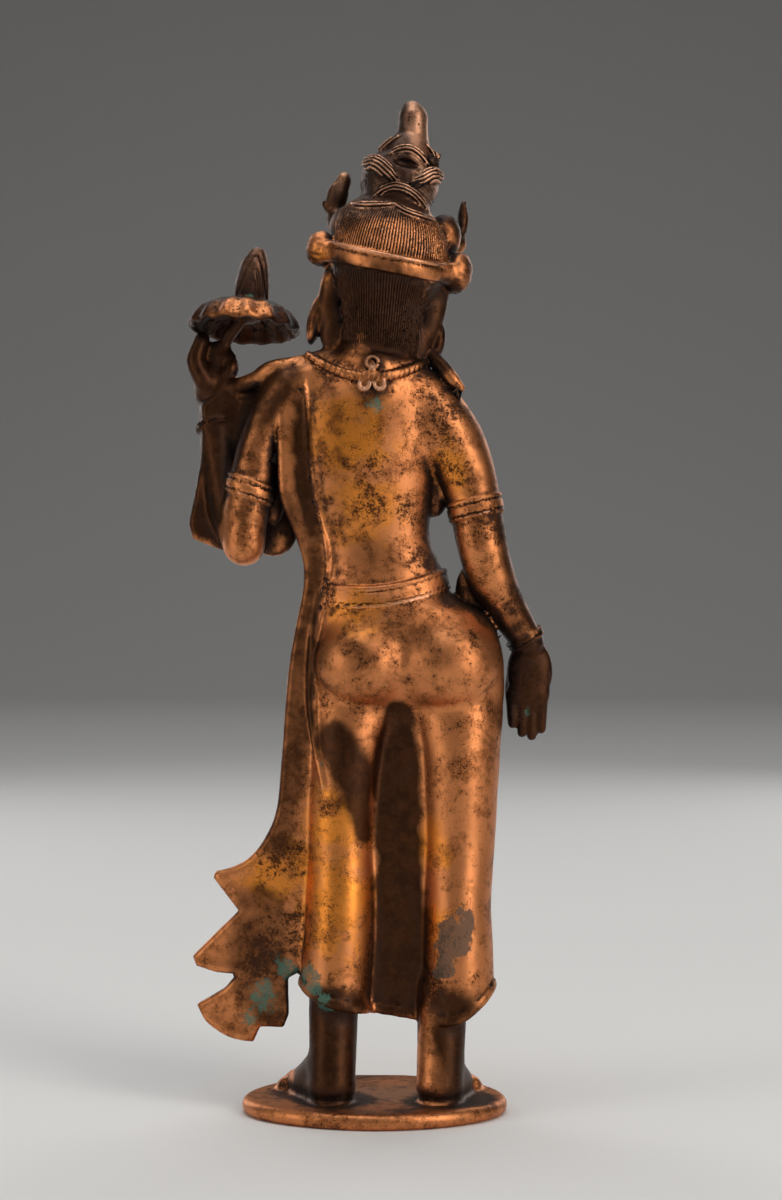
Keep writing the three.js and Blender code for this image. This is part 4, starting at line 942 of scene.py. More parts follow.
def figure(x, y, z, fine):
    body = trunk(x, y, z)
    form = join(body, skirt(x, y, z, fine), 1.6)
    form = join(join(form, feet(x, y, z), 0.8), neck(x, y, z), 3)
    skin = join(form, join(right_arm(x, y, z), left_upper_arm(x, y, z)), 1.6)
    form = join(skin, arm_webs(x, y, z), 0.8)
    form = join(join(form, left_forearm(x, y, z), 1.2), hands(x, y, z), 1)
    form = join(form, shawl(x, y, z, torso(x, y, z)), 0.8)
    form = join(form, shawl_folds(x, y, z), 1)
    form = join(form, belt(x, y, z, body, fine), 0.3)
    for ring_form in rings:
        form = join(form, ring_form(x, y, z, fine), 0.3)
    form = join(form, heads[fine](x, y, z), 1.2)
    form = join(form, necklace(x, y, z, skin, fine), 0.3)
    form = join(form, (fine_trim if fine else plain_trim)(x, y, z), 0.4)
    form = join(form, join(lotus_cap(x, y, z), bud(x, y, z, fine), 0.8), 0.4)
    form = join(form, stalk(x, y, z), 0.8)
    if fine:
        form = form + 0.09 * noise(x, y, z, 7) + 0.035 * noise(x + 50, y, z, 2.2)
    return form


def plate(x, y, z):
    """A flat oval with a rounded edge, worn a little out of true."""
    wide, deep = PLATE_WIDTH / 2, PLATE_DEPTH / 2
    angle = np.arctan2(y / deep, x / wide)
    worn = 1 + 0.012 * np.sin(3 * angle + 0.6) + 0.008 * np.sin(5 * angle)
    share = length(x / wide, y / deep) / worn
    slope = length(x / wide**2, y / deep**2) / worn
    outward = off_oval(share, slope, -deep)
    half = PLATE_THICKNESS / 2
    out, off = outward + PLATE_EDGE_RADIUS, np.abs(z - half) - half + PLATE_EDGE_RADIUS
    rounded = length(np.maximum(out, 0), np.maximum(off, 0)) - PLATE_EDGE_RADIUS
    return np.minimum(np.maximum(out, off), 0) + rounded


def local(points):
    """Places from the middle of the soles, in the sizes that the figure was modelled in."""
    x, y, z = points.T
    return x / UNIT, y / UNIT, (z - PLATE_THICKNESS) / UNIT


def casting(points, fine=True):
    x, y, z = np.ascontiguousarray(points.T)
    standing = figure(*local(points), fine) * UNIT
    return np.maximum(join(standing, plate(x, y, z), SOLE_FILLET), -z)


# The net: one square for each cell edge that the surface crosses


def whole_blocks(field, low, blocks, cell):
    """The value in the middle of each block of cells, for every cell of the block."""
    steps = np.stack(np.meshgrid(*(np.arange(n) for n in blocks), indexing="ij"), -1)
    middles = low + (steps.reshape(-1, 3) + 0.5) * BLOCK * cell
    return field(middles).reshape(blocks).repeat(BLOCK, 0).repeat(BLOCK, 1).repeat(BLOCK, 2)


def split_squares(points, a, b, c, d):
    """Two sets of triangles from squares, each cut along its shorter diagonal."""
    shorter = np.sum((points[a] - points[c]) ** 2, 1) < np.sum((points[b] - points[d]) ** 2, 1)
    cuts = (([a, b, c], [a, b, d]), ([a, c, d], [b, c, d]))
    return [np.where(shorter[:, None], np.stack(one, 1), np.stack(other, 1)) for one, other in cuts]


def surface_net(field, low, high, cell):
    """Points and triangles that follow the zero of the field."""
    blocks = np.ceil((high - low) / cell / BLOCK).astype(int)
    rough = whole_blocks(field, low, blocks, cell)
    cells = np.abs(rough) < BLOCK * cell * BLOCK_REACH
    needed = np.zeros(np.array(cells.shape) + 1, bool)
    corners = [(a, b, c) for a in (0, 1) for b in (0, 1) for c in (0, 1)]

    def shifted(grid, corner):
        a, b, c = corner
        n, m, k = cells.shape
        return grid[a : a + n, b : b + m, c : c + k]

    for corner in corners:
        shifted(needed, corner)[...] |= cells
    values = np.pad(rough, (0, 1), mode="edge")
    at = np.argwhere(needed)
    values[needed] = np.concatenate([field(low + part * cell) for part in np.array_split(at, 8)])
    inside = values < 0
    count = sum(shifted(inside, corner).astype(int) for corner in corners)
    crossed = cells & (count > 0) & (count < 8)
    where = np.argwhere(crossed)
    number = np.full(cells.shape, -1)
    number[crossed] = np.arange(len(where))
    held = {corner: shifted(values, corner)[crossed] for corner in corners}
    total, hits = np.zeros((len(where), 3)), np.zeros(len(where))
    for start in corners:
        for axis in range(3):
            if start[axis]:
                continue
            end = tuple(1 if k == axis else start[k] for k in range(3))
            a, b = held[start], held[end]
            cut = (a < 0) != (b < 0)
            place = np.tile(np.array(start, float), (cut.sum(), 1))
            place[:, axis] += a[cut] / (a[cut] - b[cut])
            total[cut] += place
            hits[cut] += 1
    points = low + (where + total / hits[:, None]) * cell

    squares = []
    for axis in range(3):
        u, v = np.eye(3, dtype=int)[(axis + 1) % 3], np.eye(3, dtype=int)[(axis + 2) % 3]
        step = np.eye(3, dtype=int)[axis]
        start = inside[: inside.shape[0] - step[0], : inside.shape[1] - step[1], : inside.shape[2] - step[2]]
        end = inside[step[0] :, step[1] :, step[2] :]
        edge = np.argwhere(start != end)
        leaves = start[tuple(edge.T)]
        around = [number[tuple((edge - shift).T)] for shift in (0 * u, u, u + v, v)]
        square = np.stack(around, 1)
        squares.append(np.where(leaves[:, None], square, square[:, ::-1]))
    return points, np.concatenate(split_squares(points, *np.concatenate(squares).T))


def normals_of(points, faces):
    a, b, c = (points[faces[:, k]] for k in range(3))
    flat = np.cross(b - a, c - a)
    summed = np.stack([
        np.bincount(faces.ravel(), np.repeat(flat[:, k], 3), len(points)) for k in range(3)
    ], 1)
    return summed / np.maximum(np.linalg.norm(summed, axis=1), 1e-12)[:, None]


def settle(points, faces, field, rounds):
    """Moves the points along their normals onto the surface."""
    for _ in range(rounds):
        normals = normals_of(points, faces)
        points = points - np.clip(field(points), -SETTLE_REACH, SETTLE_REACH)[:, None] * normals
    return points


def pull_in(points, field):
    """Brings points that settle() left off the surface straight down the slope of the field."""
    points = points.copy()
    stray = np.flatnonzero(np.abs(field(points)) > STRAY)
    here = points[stray]
    for _ in range(PULL_ROUNDS):
        slope = slope_of(field, here)
        steep = np.maximum(np.linalg.norm(slope, axis=1), LEAST_SLOPE)
        move = np.clip(field(here) / steep, -PULL_REACH, PULL_REACH)
        here = here - (move / steep)[:, None] * slope
    better = np.abs(field(here)) < np.abs(field(points[stray]))
    points[stray[better]] = here[better]
    return points


def slope_of(field, places, step=0.05):
    """How the field rises along each axis."""
    sides = [field(places + step * axis) - field(places - step * axis) for axis in np.eye(3)]
    return np.stack(sides, 1) / (2 * step)


def even_out(points, faces):
    """Moves the points along the surface towards the middle of their neighbours."""
    total, count = np.zeros_like(points), np.zeros(len(points))
    for a, b in ((0, 1), (1, 2), (2, 0)):
        for start, end in ((a, b), (b, a)):
            count += np.bincount(faces[:, start], minlength=len(points))
            for k in range(3):
                total[:, k] += np.bincount(faces[:, start], points[faces[:, end], k], len(points))
    move = total / count[:, None] - points
    normals = normals_of(points, faces)
    along = move - np.sum(move * normals, 1)[:, None] * normals
    return points + EVENING * along


def refine(points, faces, too_long):
    """Splits the edges that are too long, all at once, and their triangles with them."""
    edges = np.sort(faces[:, [0, 1, 1, 2, 2, 0]].reshape(-1, 2), axis=1)
    keys, back = np.unique(edges[:, 0] * len(points) + edges[:, 1], return_inverse=True)
    a, b = np.divmod(keys, len(points))
    split = too_long(points, a, b)
    middle = np.full(len(keys), -1)
    middle[split] = len(points) + np.arange(split.sum())
    points = np.concatenate([points, (points[a[split]] + points[b[split]]) / 2])
    middles = middle[back].reshape(-1, 3)
    cuts = (middles >= 0).sum(1)
    made = [faces[cuts == 0]]

    def turned_to(which, lead):
        """Triangles and their middles, turned so that the edge that leads comes first."""
        order = (lead[:, None] + np.arange(3)) % 3
        return (np.take_along_axis(faces[which], order, 1).T, np.take_along_axis(middles[which], order, 1).T)

    one = cuts == 1
    (a, b, c), (m, _, _) = turned_to(one, np.argmax(middles[one] >= 0, 1))
    made += [np.stack([a, m, c], 1), np.stack([m, b, c], 1)]
    two = cuts == 2
    (a, b, c), (_, m, n) = turned_to(two, np.argmin(middles[two] >= 0, 1))
    made.append(np.stack([m, c, n], 1))
    made += split_squares(points, a, b, m, n)
    three = cuts == 3
    (a, b, c), (m, n, k) = faces[three].T, middles[three].T
    made += [np.stack(t, 1) for t in ([a, m, k], [m, b, n], [k, n, c], [m, n, k])]
    return points, np.concatenate(made)


def near_the_hair(points):
    """Numbers of the points round the hair, and their places in the head's frame."""
    x, y, z = to_frame(*local(points), HEAD_PLACE, head_back)
    near = np.flatnonzero(length(x - 1, y, z - 6) < HAIR_REACH)
    return near, x[near], y[near], z[near]


def strand_phase(points):
    """The phase of the combed strands at each point, and whether it lies on hair."""
    near, x, y, z = near_the_hair(points)
    phase = np.zeros(len(points))
    distance, phases, shares = combed_hair(x, y, z)
    on_hair = (distance < 1) & (shares > 0.3) & (y > -4)
    phase[near] = np.where(on_hair, phases, 0)
    return phase, phase != 0


def grain(points):
    """Length that the net's edges should have at each point."""
    x, y, z = local(points)
    hx, hy, hz = to_frame(x, y, z, HEAD_PLACE, head_back)
    wanted = np.full(x.shape, LONGEST_EDGE)

    def finer(size, *conditions):
        nonlocal wanted
        wanted = np.where(np.logical_and.reduce(conditions), np.minimum(wanted, size), wanted)

    # Head: all of it, topknot, hair band, face, ear rings, crown
    in_head = (z > 180) & (np.abs(x + 3) < 30)
    finer(0.9, in_head, hz > -26)
    finer(0.5, in_head, hz > 9, hy > -2)
    finer(0.5, in_head, np.abs(hz + HEADBAND_SLOPE * hy) < 3.4, hy > -2)
    finer(0.5, in_head, hy < -10, hz < 2, hz > -19, np.abs(hx) < 9)
    finer(0.6, in_head, hz < -10, hy > -4, np.abs(hx) > 10)
    finer(0.6, in_head, hy < -9, hz > 2)
    # Necklace, its knot and its front, belt, arm rings, hem
    curve = NECKLACE_BACK + 0.0249 * (x - NECK_MIDDLE) ** 2
    finer(0.4, np.abs(z - curve) < 2, y > 0, np.abs(x) < 17)
    finer(0.32, np.abs(x - 0.9) < 5, np.abs(z - 184.4) < 5.4, y > 5)
    finer(0.5, np.abs(z - NECKLACE_FRONT - 0.08 * (x - NECK_MIDDLE) ** 2) < 3, y < -5, np.abs(x) < 16)
    finer(0.45, np.abs(z - belt_height(x)) < 4, np.abs(x) < 24)
    for _, centre, normal, _ in ARM_RINGS:
        offset = np.stack([x - centre[0], y - centre[1], z - centre[2]])
        along = np.tensordot(np.array(normal), offset, 1)
        finer(0.45, np.abs(along) < 3.6, length(*offset) < 10)
    finer(0.55, np.abs(z - hem_height(x, y)) < 2.2, x < 18)
    # Lotus and bud, hands, toes
    finer(0.56, x > 16, x < 53, z > 197)
    finer(0.3, x > 26, x < 39, z > 204, y > -13)
    finer(0.8, x > 34, z > 176)
    finer(0.6, x < -33, z < 118)
    finer(0.65, z < 9, y < -4, np.abs(x) < 28, z > 0.3)
    # Edges of the shawl, and of the cloth over the left leg
    outline = shawl_outline(x, z)
    finer(0.6, np.abs(outline) < 1.8, x > 15.5)
    inner = shawl_inner_edge(z)[0]
    finer(0.6, np.abs(x - inner) < 2.2, z > 78, y > 2)
    finer(0.6, np.abs(x + 1.5) < 2.5, z > 24, z < 90, y > 2)
    return np.minimum(wanted * FINENESS, LONGEST_EDGE) * UNIT


def too_long(points, a, b):
    """Which edges, from points a to points b, are to be split."""
    span = np.linalg.norm(points[a] - points[b], axis=1)
    phase, on_hair = strand_phase(points)
    across = np.abs(phase[a] - phase[b])
    crosses = (across > STRAND_SHARE_PER_EDGE) & (across < STRANDS_AT_A_PARTING)
    fine_strand = on_hair[a] & on_hair[b] & crosses & (span > SHORTEST_STRAND_EDGE)
    return (span > EDGE_SLACK * grain((points[a] + points[b]) / 2)) | fine_strand


def plain_casting(points):
    return casting(points, fine=False)


def sculpt():
    """Lays a coarse net over the plain forms, then refines it on the forms with their relief."""
    low, high = np.array(NET_LOW) * UNIT, np.array(NET_HIGH) * UNIT
    points, faces = surface_net(plain_casting, low + NET_SHIFT, high, BASE_CELL)
    for _ in range(EVEN_ROUNDS):
        points = even_out(points, faces)
        points = settle(points, faces, plain_casting, 1)
    for _ in range(REFINE_ROUNDS):
        points, faces = refine(points, faces, too_long)
        points = settle(points, faces, casting, 2)
    return pull_in(points, casting), faces


points, faces = sculpt()
normals = normals_of(points, faces)


# What the surface has been through, worked out at each point of the net


def hollowness(reach):
    """Share of the space in front of each point that the casting fills, 0 to about 1."""
    return np.clip(1 - casting(points + reach * normals) / (reach * steepness), 0, 1)


def sharpness(reach):
    """How thin the metal is behind each point: 0 on a flat face, towards 1 on an edge."""
    return np.clip(1 + casting(points - reach * normals) / (reach * steepness), 0, 1)


def ragged(amount):
    """An offset that makes a border uneven, coarse and fine together."""
    x, y, z = local(points)
    return amount * (noise(x, y, z, 3.6) + 0.7 * noise(x, y + 9, z, 1.5))


def spots(places, inner, outer):
    """Spots of [x, y, z, radius] that fade between two shares of their radius."""
    x, y, z = local(points)
    uneven = ragged(0.3)
    shade = np.zeros(len(points))
    for cx, cy, cz, radius in places:
        share = length(x - cx, (y - cy) * 0.6, z - cz) / radius + uneven
        shade = np.maximum(shade, 1 - smooth_step(share, inner, outer))
    return shade


def streaks(lines, fade):
    """Streaks along lines through [x, y, z, radius], fading over a width on either side.
    Each line comes with its strength."""
    x, y, z = local(points)
    uneven = ragged(0.6)
    shade = np.zeros(len(points))
    for strength, line in lines:
        share = 1 - smooth_step(limb(line)(x, y, z) + uneven, -fade, fade)
        shade = np.maximum(shade, strength * share)
    return shade


def strands():
    """Phase of the combed strands at each point, how strongly they show there, and whether
    the point is on a lock."""
    near, x, y, z = near_the_hair(points)
    phase, share, lock = np.zeros((3, len(points)))
    distance, phases, shares = combed_hair(x, y, z)
    phase[near] = phases + 0.12 * noise(x, y, z, 6)
    share[near] = shares * (1 - smooth_step(distance, 0.4, 0.8)) * smooth_step(y, -6, -3)
    lock[near] = 1 - smooth_step(locks(x, y, z)[0], 0.1, 0.5)
    return phase, share, lock


strand, strand_share, on_lock = strands()
steepness = np.clip(np.linalg.norm(slope_of(casting, points, 0.15), axis=1), 0.35, 1.2)
grooves = hollowness(0.5)
recess = 0.3 * hollowness(2) + 0.4 * hollowness(5) + 0.45 * hollowness(12)
rub = sharpness(0.8)

# Where the photo shows each change: spots [x, y, z, radius], and lines of such points with
# the strength of the change along them
VERDIGRIS = [
    [28, 6, 26, 6.5], [23, 6, 33, 5], [33, 6, 20, 4], [17, 10, 31, 5], [12, 12, 26, 3], [0, 9, 176.5, 3],
    [-2.6, 9, 175.6, 2], [36.5, 2, 150, 2.2], [27, -4, 205, 2.4], [38, -4, 203, 2.2], [33, -6, 206, 2]
]
VERDIGRIS_LINES = [
    (1.1, [[-41.9, -2.6, 100, 0.3], [-41.8, -3.4, 94, 0.3]]),
    (1.1, [[-39.2, -2.6, 100, 0.3], [-39.2, -3.4, 93, 0.3]]),
    (1.1, [[-36.5, -2.6, 100, 0.3], [-36.8, -3.4, 94, 0.3]]),
    (0.8, [[25.6, 4, 168, 0.4], [24.8, 4, 154, 0.6]]), (0.7, [[20.6, 9.6, 179, 0.3], [19.6, 9.6, 168, 0.4]]),
    (0.7, [[13.4, 9, 86, 0.4], [14.6, 9, 76, 0.4]]), (0.7, [[36.8, 3, 160, 0.4], [36.8, 3, 154, 0.5]]),
    (0.6, [[-4, 6, 236, 0.8], [4, 8, 235, 0.8]]), (0.6, [[12, 7, 207, 0.6], [12, 7, 198, 0.6]]),
    (0.5, [[-9, 9, 231, 1.5], [0, 12, 229, 1.5], [7, 9, 231, 1.5]]),
    (0.8, [[26.6, 7, 151.6, 0.5], [32, 8.4, 152.8, 0.5], [37, 3, 154.2, 0.5]])
]
# Dark patches: ragged dark stains, and painted shade beside the right arm, on its shaded side and between the
# forearm and the hip
DARK_STAINS_AND_SHADE_PATCHES = [
    [-17, 9, 176, 9], [-20, 9, 166, 6], [-22, 9, 160, 5], [1, 12, 160, 6], [-8, 11, 150, 5], [2, 11, 150, 6],
    [-12, 9, 137, 6], [-18, 9, 128, 4], [-19, 9, 42, 5], [-21, 9, 35, 4], [-14, 9, 30, 5], [24, 6, 44, 8],
    [29, 5, 32, 8], [26, 5, 60, 6], [-31, 5, 146, 7], [-36, 2, 128, 6], [-26, 13, 118, 3], [12, 9, 128, 4],
    [10, 12, 22, 5]
]
GREY_PATCHES = [[-20, 10, 42, 6.4], [-22.6, 10, 46.6, 4], [-18, 10, 35, 4.4], [-21, 10, 31.4, 3]]
# Golden patches: a brighter golden tone of the metal, laid partly where the figure is lit, so partly painted
# light
GOLDEN_AND_LIT_PATCHES = [
    [9, 12, 50, 20], [9, 12, 70, 14], [7, 10, 168, 16], [4, 10, 150, 14], [6, 12, 124, 10], [-14, 12, 44, 9],
    [-14, 12, 66, 10], [26, 6, 56, 12], [-20, 8, 160, 9], [16, 6, 212, 7], [20, 6, 62, 6]
]
# Places that hands have worn to an even satin
WORN_PATCHES = [
    [10, 14, 110, 12], [-15, 14, 110, 12], [-15, 12, 92, 10], [-15, 12, 70, 9], [9, 12, 52, 12],
    [10, 8, 180, 6], [-5, -14, 206, 13], [-8, -14, 166, 12], [9, -14, 166, 12], [-2, -12, 145, 14],
    [-12, -12, 60, 16], [10, -12, 60, 16], [-2, -14, 100, 18]
]
# A brown film where hands never rub, and painted shade: the sunken panel, the shawl's inner crease, the
# shaded left arm, the nape, the ankles, the right hand and under the lotus cap
FILM_AND_PAINTED_SHADE_LINES = [
    (1, [[-5.6, 6, 99, 4], [-5, 6, 84, 6.4], [-6, 6, 60, 5.6], [-6.4, 7, 29, 8]]),
    (0.8, [[11, 10, 92, 5], [6, 10, 84, 6], [3, 9, 68, 3]]),
    (1, [[33, 0, 178, 6], [35.6, -2, 164, 8], [35, -4, 146, 8]]),
    (1, [[45, -6, 200, 7], [43, -5, 176, 8], [41, -4, 150, 8]]),
    (1, [[20.6, 9, 186, 1.6], [19.2, 9, 173, 2.2], [17.8, 8, 154, 2.8], [15.2, 8, 141, 2.8]]),
    (1, [[15.2, 8, 141, 2.8], [16, 8, 126, 3], [17.6, 8, 108, 2.6], [18, 8, 80, 1.6]]),
    (0.65, [[30, 5, 178, 8], [22, 8, 187, 5]]), (0.35, [[29, 6, 172, 7], [32, 4, 150, 7]]),
    (0.55, [[24, 6, 150, 6], [22, 6, 126, 6], [24, 6, 90, 8], [26, 6, 66, 6]]),
    (0.52, [[30, 6, 46, 9], [30, 6, 30, 9], [24, 6, 20, 6]]), (1, [[-3.6, 9, 208, 9], [-3.2, 8, 197, 9]]),
    (0.8, [[-10, 6, 191, 3], [-2, 7, 190, 3], [10, 6, 192, 3]]), (0.95, [[7, 8, 208, 7], [8, 8, 197, 6]]),
    (0.7, [[14, 4, 206, 4], [13, 4, 192, 4]]), (0.9, [[-17, 4, 204, 7], [-15, 4, 190, 6]]),
    (0.5, [[19, 0, 216, 6], [16, 0, 215, 6]]), (0.5, [[-24, 0, 211, 7], [-20, 0, 212, 6]]),
    (0.3, [[13, 8, 215, 3], [-3, 12, 212, 3], [-18, 6, 209, 3]]),
    (0.35, [[13, 9, 178, 5], [11, 10, 160, 5], [10, 10, 148, 5]]),
    (0.7, [[0.9, 9, 191, 3.6], [0.9, 9, 186, 3.6]]), (0.5, [[0.9, 9, 184, 4.6], [0.9, 9, 180.6, 4.6]]),
    (0.5, [[-8, 8, 230, 9], [4, 8, 228, 9]]), (1, [[-2, 4, 234, 9], [0, 2, 244, 9]]),
    (0.9, [[0, 2, 248, 8], [0, 2, 258, 8]]), (0.7, [[14, -6, 228, 8], [16, -9, 238, 6]]),
    (0.7, [[-19, -6, 226, 8], [-20, -9, 240, 6]]), (1, [[11, 8, 24, 8], [11, 6, 4, 11]]),
    (0.85, [[-21, 8, 24, 8], [-21, 6, 4, 11]]), (0.8, [[24, -12, 205, 10], [44, -12, 205, 10]]),
    (0.6, [[34, -12, 214, 8], [32, -12, 222, 5]]), (1, [[23, -12, 195.6, 8], [46, -12, 195.6, 8]]),
    (1, [[25, -22, 195, 7.4], [43, -22, 195, 7.4]]), (1, [[25, -2, 194, 7], [43, -2, 194, 7]]),
    (0.38, [[-24, 4, 172, 6], [-28, 2, 156, 8]]),
    (0.55, [[-33, 2, 146, 7], [-36, 1, 132, 7], [-38.6, 0, 120, 6]]),
    (0.92, [[-38.6, -2, 114, 6], [-40, -3, 106, 8], [-39.5, -3, 92, 8]]),
    (0.36, [[-14, 9, 138, 6], [0, 12, 139, 6], [12, 9, 138, 6]]),
    (0.3, [[10, 14, 112, 10], [-15, 14, 112, 10]]),
    (0.35, [[24, 0, 0, 4], [0, 24, 0, 4], [-24, 0, 0, 4], [0, -24, 0, 4], [24, 0, 0, 4]])
]
# Raised bands that hands have rubbed bright
POLISHED_LINES = [
    (1, [[-31, 2, 150, 1], [-25.6, 8, 150.8, 1], [-19, 5, 152, 1]]),
    (2, [[37, 4, 157, 1], [32.2, 8, 155.6, 1], [27, 6, 153.6, 1]]),
    (1, [[14, 12, 129, 1.2], [4, 14, 128, 1.2], [-8, 13, 129, 1.2], [-19, 8, 132, 1.2]]),
    (1, [[13, 8, 190, 1], [4, 9, 184.4, 1], [-8, 9, 184.6, 1], [-13, 6, 189, 1]]),
    (0.12, [[0.8, 12, 187.4, 1], [0.9, 12, 184, 1], [2.6, 13, 181.6, 1], [-1, 13, 181.6, 1]])
]
# Dry grey dust: on the plate, the lotus and from the crown upwards
DUSTY_LINES = [
    (1, [[-3, 0, 235, 17], [0, 0, 254, 17]]), (0.6, [[-3, 0, 198, 12], [-3, 0, 195, 8.6]]),
    (0.8, [[33, -12, 222, 15], [32, -12, 226, 15]]), (0.8, [[16, 0, -18, 20], [-16, 0, -18, 20]])
]
polish = np.maximum(streaks(POLISHED_LINES, fade=2.4), on_lock)
off_strands = 1 - 0.8 * strand_share
# Masks for the material. The brown film and the dark patches carry painted shade as well, and the golden
# patches painted light
shades = {
    "strand": strand, "strand_share": strand_share, "polish": polish, "grooves": grooves * off_strands,
    "recess": np.clip(recess * (1 - 0.35 * strand_share), 0, 1), "rub": np.clip(rub * off_strands, 0, 1),
    "verdigris": np.maximum(spots(VERDIGRIS, inner=0.5, outer=1.1), streaks(VERDIGRIS_LINES, fade=0.8)),
    "stains_and_shade": spots(DARK_STAINS_AND_SHADE_PATCHES, inner=0.3, outer=1.2), "grey": spots(GREY_PATCHES, inner=0.5, outer=1.1),
    "golden_and_lit": spots(GOLDEN_AND_LIT_PATCHES, inner=0.1, outer=1.2), "worn": spots(WORN_PATCHES, inner=0.3, outer=1.1),
    "film_and_shade": streaks(FILM_AND_PAINTED_SHADE_LINES, fade=2.6) * (1 - 0.6 * np.minimum(polish, 1)),
    "dust": streaks(DUSTY_LINES, fade=3)
}

mesh = bpy.data.meshes.new("tara_casting")
mesh.vertices.add(len(points))
mesh.vertices.foreach_set("co", (points * MILLIMETRE).ravel())
mesh.loops.add(faces.size)
mesh.loops.foreach_set("vertex_index", faces.ravel())
mesh.polygons.add(len(faces))
mesh.polygons.foreach_set("loop_start", np.arange(0, faces.size, 3))
mesh.update(calc_edges=True)
mesh.validate()
mesh.polygons.foreach_set("use_smooth", np.ones(len(faces), bool))
for name, values in shades.items():
    mesh.attributes.new(name, "FLOAT", "POINT").data.foreach_set("value", values.astype(np.float32))
tara = bpy.data.objects.new("tara_casting", mesh)
bpy.context.scene.collection.objects.link(tara)
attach(tara, "root")
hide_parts("tara_figure")


# Copper with its patina, and painted shade and painted light in its colour


class Nodes:
    """A few lines of node set-up, so that a material reads as a recipe."""

    def __init__(self, name):
        self.material = bpy.data.materials.new(name)
        self.material.use_nodes = True
        self.tree = self.material.node_tree
        self.shader = self.tree.nodes["Principled BSDF"]

    def make(self, kind, inputs=(), **settings):
        node = self.tree.nodes.new(kind)
        for key, value in settings.items():
            setattr(node, key, value)
        for key, value in dict(inputs).items():
            self.feed(node.inputs[key], value)
        return node

    def feed(self, socket, value):
        if isinstance(value, bpy.types.NodeSocket):
            self.tree.links.new(value, socket)
        else:
            socket.default_value = value

    def shade(self, name):
        return self.make("ShaderNodeAttribute", attribute_name=name).outputs["Fac"]

    def math(self, operation, a, b=0.0):
        node = self.make("ShaderNodeMath", operation=operation)
        self.feed(node.inputs[0], a)
        self.feed(node.inputs[1], b)
        return node.outputs[0]

    def times(self, a, b):
        return self.math("MULTIPLY", a, b)

    def ramp(self, value, low, high, to_low=0.0, to_high=1.0):
        limits = {"From Min": low, "From Max": high, "To Min": to_low, "To Max": to_high}
        node = self.make("ShaderNodeMapRange", {"Value": value, **limits}, interpolation_type="SMOOTHSTEP")
        return node.outputs[0]

    def mix(self, share, a, b):
        node = self.make("ShaderNodeMix", data_type="RGBA")
        self.feed(node.inputs[0], share)
        self.feed(node.inputs[6], a)
        self.feed(node.inputs[7], b)
        return node.outputs[2]

    def noise(self, scale, detail, roughness, distortion=0.0):
        """Noise with features of about 1 / scale metres."""
        node = self.make(
            "ShaderNodeTexNoise",
            {
                "Vector": self.coordinates, "Scale": scale, "Detail": detail, "Roughness": roughness,
                "Distortion": distortion
            }
        )
        return node.outputs[0]

    @property
    def coordinates(self):
        return self.make("ShaderNodeTexCoord").outputs["Object"]


def colour(red, green, blue):
    return (red, green, blue, 1.0)


GOLDEN_AND_LIT = colour(0.92, 0.32, 0.045)
COPPER = colour(0.72, 0.27, 0.10)
BROWN = colour(0.29, 0.095, 0.03)
DEEP_BROWN = colour(0.06, 0.024, 0.012)
FILM_AND_SHADE_BROWN = colour(0.066, 0.026, 0.012)
NEAR_BLACK = colour(0.011, 0.007, 0.006)
WORN_PINK = colour(0.88, 0.48, 0.30)
VERDIGRIS_GREEN = colour(0.055, 0.16, 0.115)
GREY_CRUST = colour(0.075, 0.053, 0.036)
DUSTY_METAL = colour(0.42, 0.25, 0.17)
DUSTY_FILM_AND_SHADE = colour(0.062, 0.038, 0.030)


